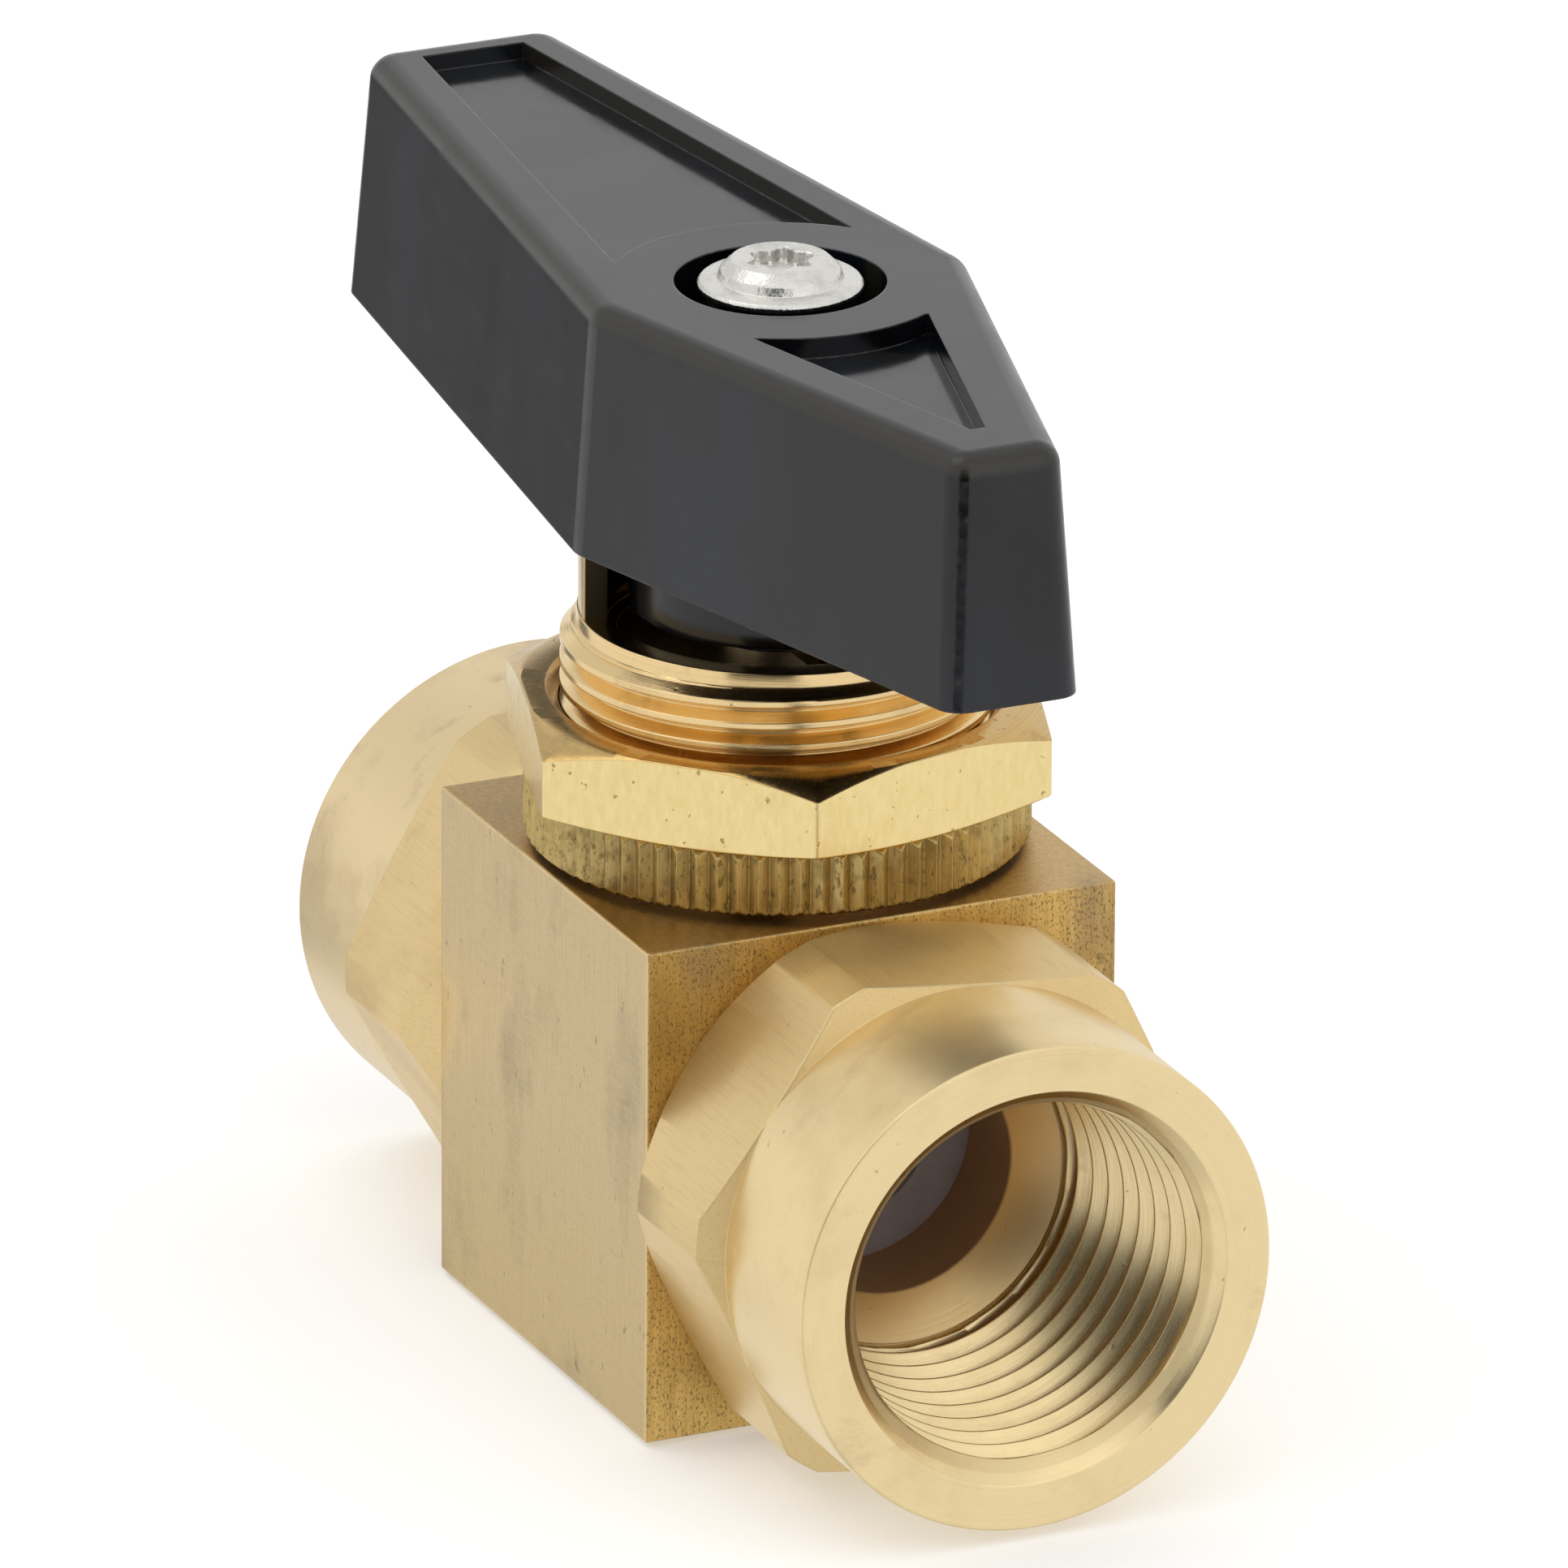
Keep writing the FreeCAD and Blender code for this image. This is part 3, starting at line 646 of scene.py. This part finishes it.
def turned_brass(name, axis, base, deep, roughness, stain=0.5, lines=0.5, pits=0.5,
                 passage=0.0, shift=0.0):
    """Brass turned about an axis: fine rings, soft stains, small pits and painted highlights on
    the edges.

    A passage radius is given for a connector: it paints shade, a dark brown, over whatever lies
    nearer to the axis, and the shelf, thread, mouth, collar and flats get a finish of their own.
    """
    g = Graph(name)
    place = g.stretched(g.position(), (1, 1, 1), (shift, 0, shift))
    polar = g.polar(g.position(), axis)
    soft, edge = g.edges(0.09)
    fine = g.noise(g.stretched(polar, (9.0, 9.0, 0.6)), 1.6, 4.0, 0.7)
    broad = g.noise(place, 0.16, 5.0, 0.62)
    cloud = g.remap(broad, 0.50, 0.68)
    smudge = g.remap(g.noise(g.stretched(place, (0.5, 1.0, 1.0)), 0.3, 6.0, 0.7), 0.58, 0.70)
    pit = g.remap(g.noise(place, 1.9, 2.0, 0.5), 0.74, 0.79)
    tone = g.mix(g.times(cloud, stain), colour(*base), colour(*deep))
    tone = g.mix(g.remap(fine, 0.35, 0.7, 0.0, 0.2 * lines), tone, colour(*deep))
    tone = tint(g, tone, smudge, 0.55 * stain, (0.33, 0.23, 0.15))
    tone = tint(g, tone, pit, pits, (0.12, 0.075, 0.035))
    # painted highlight: the edges are tinted pale gold
    tone = tint(g, tone, edge, 0.3, (1.0, 0.84, 0.5))
    gloss = g.remap(fine, 0.3, 0.7, roughness - 0.04, roughness + 0.06)
    gloss = g.plus(gloss, g.times(smudge, 0.12 * stain))
    metal = 1.0
    if passage:
        radius, station, _ = g.split(polar)
        passage_shade = g.remap(radius, passage + 0.05, passage - 0.05)
        # The radius at which each part's share starts, and at which it is full.
        bore, shelf, collar, flats = (g.remap(radius, start, full) for start, full in (
            (8.6, 8.5), (7.45, 7.35), (10.8, 10.95), (11.05, 11.09)))
        scratch = g.noise(g.stretched(place, (5.0, 0.25, 5.0)), 1.5, 4.0, 0.7)
        scratch = g.times(g.remap(scratch, 0.5, 0.72), flats)
        tone = tint(g, tone, flats, 0.55, (0.77, 0.56, 0.24))
        tone = tint(g, tone, scratch, 0.3, (0.50, 0.36, 0.16))
        tone = tint(g, tone, g.times(flats, edge), 0.3, (0.34, 0.25, 0.14))
        tone = tint(g, tone, shelf, 0.5, (0.92, 0.62, 0.26))
        # painted shade: the passage is tinted dark brown
        tone = tint(g, tone, passage_shade, 0.93, (0.47, 0.27, 0.12))
        dull = g.times(g.math("MAXIMUM", collar, shelf), 0.2)
        dull = g.math("MAXIMUM", dull, g.times(passage_shade, 0.85))
        metal = g.math("SUBTRACT", 1.0, dull)
        gloss = g.plus(gloss, g.times(passage_shade, 0.15))
        cone = g.remap(g.math("ABSOLUTE", station), CONNECTOR_END - 1.5, CONNECTOR_END - 0.9)
        cone = g.times(bore, cone)
        for zone, share in ((bore, 0.05), (shelf, 0.12), (collar, 0.11), (flats, 0.06),
                            (cone, 0.14)):
            gloss = g.plus(gloss, g.times(zone, share))
    relief = g.bump(fine, 0.3 * lines, 0.02, soft)
    relief = g.bump(pit, 0.4 * pits, -0.03, relief)
    return g.finish(Base_Color=tone, Metallic=metal, Roughness=gloss, Normal=relief)


def block_brass():
    """Bar stock: brushed up the sides, milled on top, tarnished in patches, specked."""
    g = Graph("brass_bar")
    place = g.position()
    soft, edge = g.edges(0.12)
    facing = g.facing()
    end_face = g.remap(g.math("ABSOLUTE", facing[1]), 0.6, 0.9)
    top_face = g.remap(facing[2], 0.6, 0.9)
    brush = g.noise(g.stretched(place, (5.0, 5.0, 0.16)), 1.4, 5.0, 0.75)
    cross = g.noise(g.stretched(place, (0.5, 0.5, 7.0)), 1.5, 4.0, 0.7)
    grain = g.noise(g.stretched(place, (1.6, 1.6, 0.5)), 2.2, 5.0, 0.7)
    stain = g.remap(g.noise(g.stretched(place, (1.0, 1.0, 0.6), (3.0, 7.0, 1.0)), 0.13, 5.0,
                            0.62), 0.52, 0.68)
    coarse = g.remap(g.noise(g.stretched(place, (1.0, 1.0, 0.55)), 1.5, 4.0, 0.6), 0.67, 0.77)
    dusting = g.remap(g.noise(g.stretched(place, (1.0, 1.0, 0.7)), 8.0, 2.0, 0.6), 0.54, 0.66)
    blotch = g.remap(g.noise(g.stretched(place, (1.0, 1.0, 0.7), (9.0, 2.0, 5.0)), 0.24, 5.0,
                             0.65), 0.42, 0.62)
    dust = g.times(dusting, g.plus(g.times(end_face, 0.75), 0.12))
    specks = g.math("MAXIMUM", coarse, dust)
    height = g.split(place)[2]
    side = g.mix(g.remap(brush, 0.3, 0.7), colour(0.84, 0.66, 0.37), colour(0.76, 0.58, 0.31))
    # painted shade: the sides turn darker and more golden towards the floor
    side = tint(g, side, g.remap(height, 12.0, 0.0), 0.5, (0.66, 0.48, 0.19))
    front = g.mix(g.remap(brush, 0.3, 0.7), colour(0.82, 0.56, 0.20), colour(0.62, 0.40, 0.12))
    front = tint(g, front, blotch, 0.55, (0.44, 0.27, 0.07))
    upper = g.mix(g.remap(grain, 0.3, 0.7), colour(0.68, 0.46, 0.19), colour(0.48, 0.31, 0.11))
    tone = g.mix(end_face, side, front)
    tone = g.mix(top_face, tone, upper)
    tone = tint(g, tone, g.remap(cross, 0.55, 0.75), 0.26, (0.40, 0.29, 0.14))
    tone = tint(g, tone, g.times(stain, g.remap(cross, 0.3, 0.6, 0.5, 1.0)), 0.5,
                (0.30, 0.25, 0.2))
    tone = tint(g, tone, specks, 0.7, (0.085, 0.06, 0.035))
    # painted highlight: the edges are tinted pale gold
    tone = tint(g, tone, edge, 0.55, (0.97, 0.80, 0.48))
    gloss = g.plus(g.remap(brush, 0.3, 0.7, 0.28, 0.4), g.times(stain, 0.12))
    gloss = g.plus(gloss, g.times(end_face, 0.16))
    relief = g.bump(brush, 0.4, 0.03, soft)
    relief = g.bump(specks, 0.4, -0.03, relief)
    return g.finish(Base_Color=tone, Metallic=1.0, Roughness=gloss, Normal=relief)


def nut_brass():
    """Bright drawn brass with fine pits, small knocks and a turned top cone."""
    g = Graph("brass_bright")
    place = g.position()
    polar = g.polar(place, "Z")
    soft, edge = g.edges(0.1)
    cone = g.remap(g.facing()[2], 0.3, 0.7)
    rings = g.noise(g.stretched(polar, (9.0, 2.0, 0.4)), 1.5, 4.0, 0.7)
    grain = g.noise(g.stretched(place, (1.0, 1.0, 0.35)), 3.0, 4.0, 0.65)
    pit = g.remap(g.noise(place, 2.6, 2.0, 0.45), 0.71, 0.76)
    grime = g.remap(g.noise(place, 0.45, 5.0, 0.65), 0.52, 0.7)
    side = g.mix(g.remap(grain, 0.3, 0.7), colour(0.95, 0.76, 0.37), colour(0.88, 0.68, 0.30))
    top = g.mix(g.remap(rings, 0.3, 0.7), colour(0.70, 0.48, 0.19), colour(0.55, 0.37, 0.14))
    tone = g.mix(cone, side, top)
    tone = tint(g, tone, g.times(grime, cone), 0.5, (0.28, 0.2, 0.11))
    tone = tint(g, tone, pit, 0.6, (0.25, 0.16, 0.06))
    # painted highlight: the edges are tinted pale gold
    tone = tint(g, tone, edge, 0.4, (1.0, 0.88, 0.56))
    gloss = g.plus(g.remap(grain, 0.3, 0.7, 0.2, 0.28), g.times(grime, 0.08))
    relief = g.bump(grain, 0.12, 0.02, soft)
    relief = g.bump(pit, 0.5, -0.03, relief)
    return g.finish(Base_Color=tone, Metallic=1.0, Roughness=gloss, Normal=relief)


def knurl_brass():
    """Darkened brass, darker still towards the bottom of the grooves, with painted highlights
    along the teeth's edges.
    """
    g = Graph("brass_knurled")
    place = g.position()
    polar = g.polar(place, "Z")
    soft, edge = g.edges(0.06)
    groove = g.remap(g.split(polar)[0], 11.0, 10.75)
    dirt = g.remap(g.noise(place, 1.1, 4.0, 0.65), 0.5, 0.7)
    specks = g.remap(g.noise(g.stretched(place, (1.0, 1.0, 0.45)), 4.2, 4.0, 0.65), 0.56, 0.66)
    streak = g.remap(g.noise(g.stretched(place, (4.0, 4.0, 0.3)), 2.0, 3.0, 0.6), 0.35, 0.65)
    tone = g.mix(dirt, colour(0.60, 0.44, 0.17), colour(0.40, 0.29, 0.11))
    tone = tint(g, tone, streak, 0.35, (0.28, 0.20, 0.08))
    # darker towards the bottom of the grooves
    tone = tint(g, tone, groove, 0.25, (0.3, 0.22, 0.11))
    tone = tint(g, tone, specks, 0.6, (0.10, 0.075, 0.035))
    # painted highlight: the teeth's edges are tinted light gold
    tone = tint(g, tone, edge, 0.35, (0.85, 0.66, 0.32))
    gloss = g.remap(dirt, 0.0, 1.0, 0.32, 0.45)
    relief = g.bump(specks, 0.4, -0.03, soft)
    return g.finish(Base_Color=tone, Metallic=1.0, Roughness=gloss, Normal=relief)


def wall_brass():
    """Brass turned bright on its outer face; its cut faces are dull, painted dark brown as the
    shade under the handle.
    """
    g = Graph("brass_wall")
    polar = g.polar(g.position(), "Z")
    soft, edge = g.edges(0.08)
    outside = g.remap(g.split(polar)[0], 8.6, 8.68)
    lines = g.noise(g.stretched(polar, (2.0, 9.0, 0.5)), 1.6, 4.0, 0.7)
    bright = g.mix(g.remap(lines, 0.3, 0.7), colour(0.90, 0.68, 0.36), colour(0.74, 0.52, 0.24))
    # painted shade: faces inside the outer radius are tinted near-black brown, the shade under
    # the handle
    tone = g.mix(outside, colour(0.075, 0.06, 0.037), bright)
    # painted highlight: the edges are tinted pale gold
    tone = tint(g, tone, edge, 0.35, (1.0, 0.84, 0.5))
    gloss = g.math("SUBTRACT", 0.5, g.times(outside, 0.28))
    return g.finish(Base_Color=tone, Metallic=1.0, Roughness=gloss,
                    Normal=g.bump(lines, 0.25, 0.02, soft))


def black_nylon():
    """Moulded black nylon: slight waviness, fine grain, painted sheen on the rounded corners,
    painted highlights along the edges.
    """
    g = Graph("nylon_black")
    place = g.position()
    soft, edge = g.edges(0.12)
    facing = g.facing()
    rounding = g.times(g.remap(facing[2], 0.15, 0.4), g.remap(facing[2], 0.99, 0.9))
    knuckle = g.times(g.remap(facing[1], -0.25, -0.18), g.remap(facing[1], 0.12, 0.07))
    knuckle = g.times(knuckle, g.remap(g.math("ABSOLUTE", facing[0]), 0.9, 0.95))
    corner = g.math("MAXIMUM", rounding, knuckle)
    wave = g.noise(place, 0.35, 3.0, 0.5)
    cast = g.noise(g.stretched(place, (1.0, 1.0, 0.4)), 0.12, 3.0, 0.55)
    grain = g.noise(place, 7.0, 3.0, 0.6)
    scuff = g.remap(g.noise(g.stretched(place, (1.0, 0.3, 1.0)), 0.9, 5.0, 0.7), 0.52, 0.75)
    edge_highlight_patches = g.remap(g.noise(g.stretched(place, (1.0, 0.5, 1.0)), 2.4, 3.0, 0.6), 0.56, 0.64)
    tone = g.mix(scuff, colour(0.0020, 0.0023, 0.0028), colour(0.0055, 0.0058, 0.006))
    tone = g.mix(g.remap(cast, 0.4, 0.6), tone, colour(0.0075, 0.009, 0.0125))
    # painted sheen: warm grey on the rounded top edges and on the faces that point along X
    tone = tint(g, tone, corner, 0.8, (0.024, 0.0215, 0.016))
    # painted highlight: grey along the edges, broken into patches
    tone = tint(g, tone, g.times(edge, edge_highlight_patches), 0.7, (0.14, 0.13, 0.115))
    gloss = g.plus(g.remap(wave, 0.3, 0.7, 0.11, 0.17), g.times(scuff, 0.08))
    gloss = g.plus(gloss, g.times(corner, 0.12))
    relief = g.bump(wave, 0.1, 0.12, soft)
    relief = g.bump(grain, 0.08, 0.012, relief)
    return g.finish(Base_Color=tone, Roughness=gloss, Normal=relief, IOR=1.5)


def plated_steel(name, tone_light, tone_dark, roughness, dimple):
    """Pale satin metal with a faintly dimpled skin."""
    g = Graph(name)
    place = g.position()
    soft, edge = g.edges(0.06)
    dimples = g.noise(place, 4.5, 3.0, 0.6)
    grime = g.remap(g.noise(place, 0.9, 4.0, 0.6), 0.5, 0.75)
    tone = g.mix(grime, colour(*tone_light), colour(*tone_dark))
    # painted highlight: the edges are tinted near white
    tone = g.mix(g.times(edge, 0.3), tone, colour(0.95, 0.95, 0.93))
    gloss = g.remap(dimples, 0.3, 0.7, roughness - 0.05, roughness + 0.08)
    relief = g.bump(dimples, dimple, 0.05, soft)
    return g.finish(Base_Color=tone, Metallic=1.0, Roughness=gloss, Normal=relief)


def moulded(name, light, dark, roughness, relief_strength):
    """Seal material: mottled, matt, with a fine skin."""
    g = Graph(name)
    place = g.position()
    cloud = g.noise(place, 0.8, 4.0, 0.6)
    skin = g.noise(place, 9.0, 3.0, 0.6)
    tone = g.mix(g.remap(cloud, 0.3, 0.7), colour(*light), colour(*dark))
    gloss = g.remap(skin, 0.3, 0.7, roughness - 0.06, roughness + 0.06)
    relief = g.bump(skin, relief_strength, 0.02)
    return g.finish(Base_Color=tone, Roughness=gloss, Normal=relief)


def paint(piece, material):
    """Give a piece one material in place of those it has."""
    piece.data.materials.clear()
    piece.data.materials.append(material)


def place_piece(piece, body, slot, material, *nodes):
    """Ride a new piece on a body in place of CAD nodes, with a material; the slot is not used.
    """
    paint(piece, material)
    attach(piece, body)
    if nodes:
        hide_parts(*nodes)


def make_pieces():
    """Every piece that Blender makes, each riding on its CAD body."""
    pale = {
        "front": turned_brass("brass_turned", "Y", (0.90, 0.72, 0.40), (0.68, 0.49, 0.24), 0.22,
                              stain=0.38, passage=5.5),
        "rear": turned_brass("brass_stained", "Y", (0.88, 0.70, 0.40), (0.62, 0.45, 0.24), 0.24,
                             stain=0.6, passage=5.5, shift=40.0),
    }
    gold = turned_brass("brass_neck", "Z", (0.90, 0.67, 0.34), (0.64, 0.42, 0.17), 0.15,
                        stain=0.4, lines=0.7)
    bar = block_brass()
    place_piece(make_block(), "valve_body", "brass_block", bar, "body")
    place_piece(make_neck(), "valve_body", "brass_block", gold, "body")
    place_piece(make_stop_wall(), "valve_body", "brass_block", wall_brass(), "body")
    for side, towards, turn in (("front", -1, math.radians(-5.65)), ("rear", 1, 0.0)):
        place_piece(make_connector(side, towards, turn), "valve_body", "brass_connector",
                    pale[side], f"end_connector_{side}")
    place_piece(make_panel_nut(), "panel_nut", "brass_nut", nut_brass(), "panel_hex_nut")
    place_piece(make_panel_ring(), "panel_ring", "brass_knurl", knurl_brass(),
                "knurled_panel_ring")
    screw = plated_steel("steel_plated", (0.74, 0.73, 0.69), (0.56, 0.55, 0.52), 0.24, 0.8)
    place_piece(make_screw(), "handle", "screw_steel", screw, "handle_screw")


def dress_cad_nodes():
    """Better materials on the CAD nodes that stay."""
    inner_brass = turned_brass("brass_inner", "Z", (0.72, 0.52, 0.24), (0.45, 0.3, 0.12), 0.35)
    stainless = plated_steel("steel_turned", (0.58, 0.57, 0.55), (0.42, 0.41, 0.4), 0.28, 0.1)
    spring = plated_steel("steel_spring", (0.42, 0.41, 0.40), (0.3, 0.29, 0.28), 0.34, 0.1)
    chrome = plated_steel("ball_plating", (0.60, 0.58, 0.56), (0.46, 0.44, 0.42), 0.08, 0.05)
    seat = moulded("seat_grey", (0.38, 0.33, 0.33), (0.30, 0.26, 0.26), 0.4, 0.1)
    rubber = moulded("rubber_black", (0.02, 0.02, 0.02), (0.035, 0.034, 0.033), 0.55, 0.2)
    choices = {
        "ball": chrome, "stem": stainless, "gland_nut": inner_brass,
        "packing_follower": inner_brass, "disc_spring_lower": spring,
        "disc_spring_upper": spring, "ball_seat_front": seat, "ball_seat_rear": seat,
        "stem_thrust_washer": seat, "packing_ring_lower": seat, "packing_ring_upper": seat,
        "connector_o_ring_front": rubber, "connector_o_ring_rear": rubber,
        "stem_o_ring": rubber, "handle": black_nylon(),
    }
    for node, material in choices.items():
        paint(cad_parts[node], material)
    soften(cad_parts["handle"], 0.32, segments=4, angle=30)


# ---- stage ------------------------------------------------------------------------------

def make_camera():
    """A long lens from the front left, above the ports."""
    azimuth, elevation, roll = (math.radians(angle) for angle in (-24.3945, 20.804, 0.349))
    distance, shift_right, shift_up = 1061.52, 0.364, 12.760
    lens = 557.77
    back = Vector((math.sin(azimuth) * math.cos(elevation),
                   -math.cos(azimuth) * math.cos(elevation), math.sin(elevation)))
    right = Vector((math.cos(azimuth), math.sin(azimuth), 0))
    up = back.cross(right)
    tilted_right = right * math.cos(roll) + up * math.sin(roll)
    tilted_up = up * math.cos(roll) - right * math.sin(roll)
    centre = Vector((0, 0, PORT_HEIGHT))
    place = centre + tilted_right * shift_right + tilted_up * shift_up + back * distance
    data = bpy.data.cameras.new("camera")
    data.lens = lens
    data.sensor_width = 36.0
    data.clip_start = 0.01
    data.clip_end = 20.0
    camera = bpy.data.objects.new("camera", data)
    bpy.context.collection.objects.link(camera)
    matrix = Matrix((tilted_right, tilted_up, back)).transposed().to_4x4()
    matrix.translation = place * MM
    camera.matrix_world = matrix
    bpy.context.scene.camera = camera


def area_light(name, place, size, power, target=(0, 0, 0.02)):
    """A rectangular lamp that points at a target; lengths in metres, power in watts."""
    data = bpy.data.lights.new(name, "AREA")
    data.shape = "RECTANGLE"
    data.size, data.size_y = size
    data.energy = power
    light = bpy.data.objects.new(name, data)
    light.location = place
    light.rotation_mode = "QUATERNION"
    light.rotation_quaternion = (Vector(target) - Vector(place)).to_track_quat("-Z", "Y")
    bpy.context.collection.objects.link(light)
    return light


def make_world():
    """White studio surroundings with a dark panel on a stand at the front left.

    Grey cards stand at the back, the floor is a little darker than the walls, and the front
    right glows. Azimuth 0 is towards -Y and 90 towards +X.
    """
    world = bpy.data.worlds.new("studio")
    bpy.context.scene.world = world
    world.use_nodes = True
    tree = world.node_tree
    tree.nodes.clear()

    def node(kind, **settings):
        """A shader node with its properties set."""
        made = tree.nodes.new(f"ShaderNode{kind}")
        for name, value in settings.items():
            setattr(made, name, value)
        return made

    def calculate(operation, first, second=0.0):
        """One Math node."""
        made = node("Math", operation=operation)
        for index, value in enumerate((first, second)):
            if isinstance(value, bpy.types.NodeSocket):
                tree.links.new(value, made.inputs[index])
            else:
                made.inputs[index].default_value = value
        return made.outputs[0]

    def window(value, low, high, soft):
        """1 between low and high, fading to 0 over a soft margin outside."""
        edges = []
        for start, end in ((low - soft, low), (high + soft, high)):
            made = node("MapRange", interpolation_type="SMOOTHSTEP")
            tree.links.new(value, made.inputs["Value"])
            made.inputs["From Min"].default_value = start
            made.inputs["From Max"].default_value = end
            edges.append(made.outputs["Result"])
        return calculate("MULTIPLY", *edges)

    direction = node("TexCoord").outputs["Generated"]
    parts = node("SeparateXYZ")
    tree.links.new(direction, parts.inputs[0])
    forward = calculate("MULTIPLY", parts.outputs[1], -1.0)
    azimuth = calculate("MULTIPLY", calculate("ARCTAN2", parts.outputs[0], forward),
                        math.degrees(1))
    elevation = calculate("MULTIPLY", calculate("ARCSINE", parts.outputs[2]), math.degrees(1))

    def zone(sides, heights, soft):
        """1 between two azimuths and two elevations, in degrees."""
        return calculate("MULTIPLY", window(azimuth, *sides, soft),
                         window(elevation, *heights, soft))

    glow = calculate("MULTIPLY", window(azimuth, -5, 25, 25), window(elevation, 10, 55, 20))
    level = calculate("ADD", 0.92, calculate("MULTIPLY", glow, 0.2))
    panel, stand = zone((-51, -15), (-10, 37), 2.6), zone((-17, -10), (-44, -18), 2)
    low_card, high_card = zone((-179, -161), (-25, -7), 3), zone((-180, -150), (14, 90), 8)
    ground = window(elevation, -120, -56, 12)
    for patch, share in ((calculate("MAXIMUM", panel, stand), 0.93), (low_card, 0.75),
                         (high_card, 0.2), (ground, 0.25)):
        kept = calculate("SUBTRACT", 1.0, calculate("MULTIPLY", patch, share))
        level = calculate("MULTIPLY", level, kept)
    seen = node("LightPath").outputs["Is Camera Ray"]
    strength = calculate("MAXIMUM", level, seen)
    background = node("Background")
    background.inputs["Color"].default_value = (1.0, 1.0, 1.0, 1.0)
    tree.links.new(strength, background.inputs["Strength"])
    output = node("OutputWorld")
    tree.links.new(background.outputs[0], output.inputs["Surface"])


def make_floor():
    """Plain pale floor under the valve."""
    half, level = 3000, cad_bounds[0][2] / MM
    floor = mesh_piece("floor", [(-half, -half, level), (half, -half, level),
                                 (half, half, level), (-half, half, level)], [(0, 1, 2, 3)])
    g = Graph("floor_pale")
    tone = g.noise(g.position(), 0.01, 2.0, 0.5)
    pale = g.mix(g.remap(tone, 0.3, 0.7), colour(0.90, 0.90, 0.90), colour(0.92, 0.92, 0.92))
    paint(floor, g.finish(Base_Color=pale, Roughness=0.9, Emission_Color=(1.0, 1.0, 1.0, 1.0),
                          Emission_Strength=0.28))
    floor.visible_glossy = False


def make_stage():
    """Camera, surroundings, floor and one soft lamp high at the back left."""
    make_camera()
    make_world()
    make_floor()
    area_light("key", (-0.35, 0.25, 0.9), (0.6, 0.6), 0.8)
    bpy.context.scene.view_settings.view_transform = "Standard"


make_pieces()
dress_cad_nodes()
make_stage()
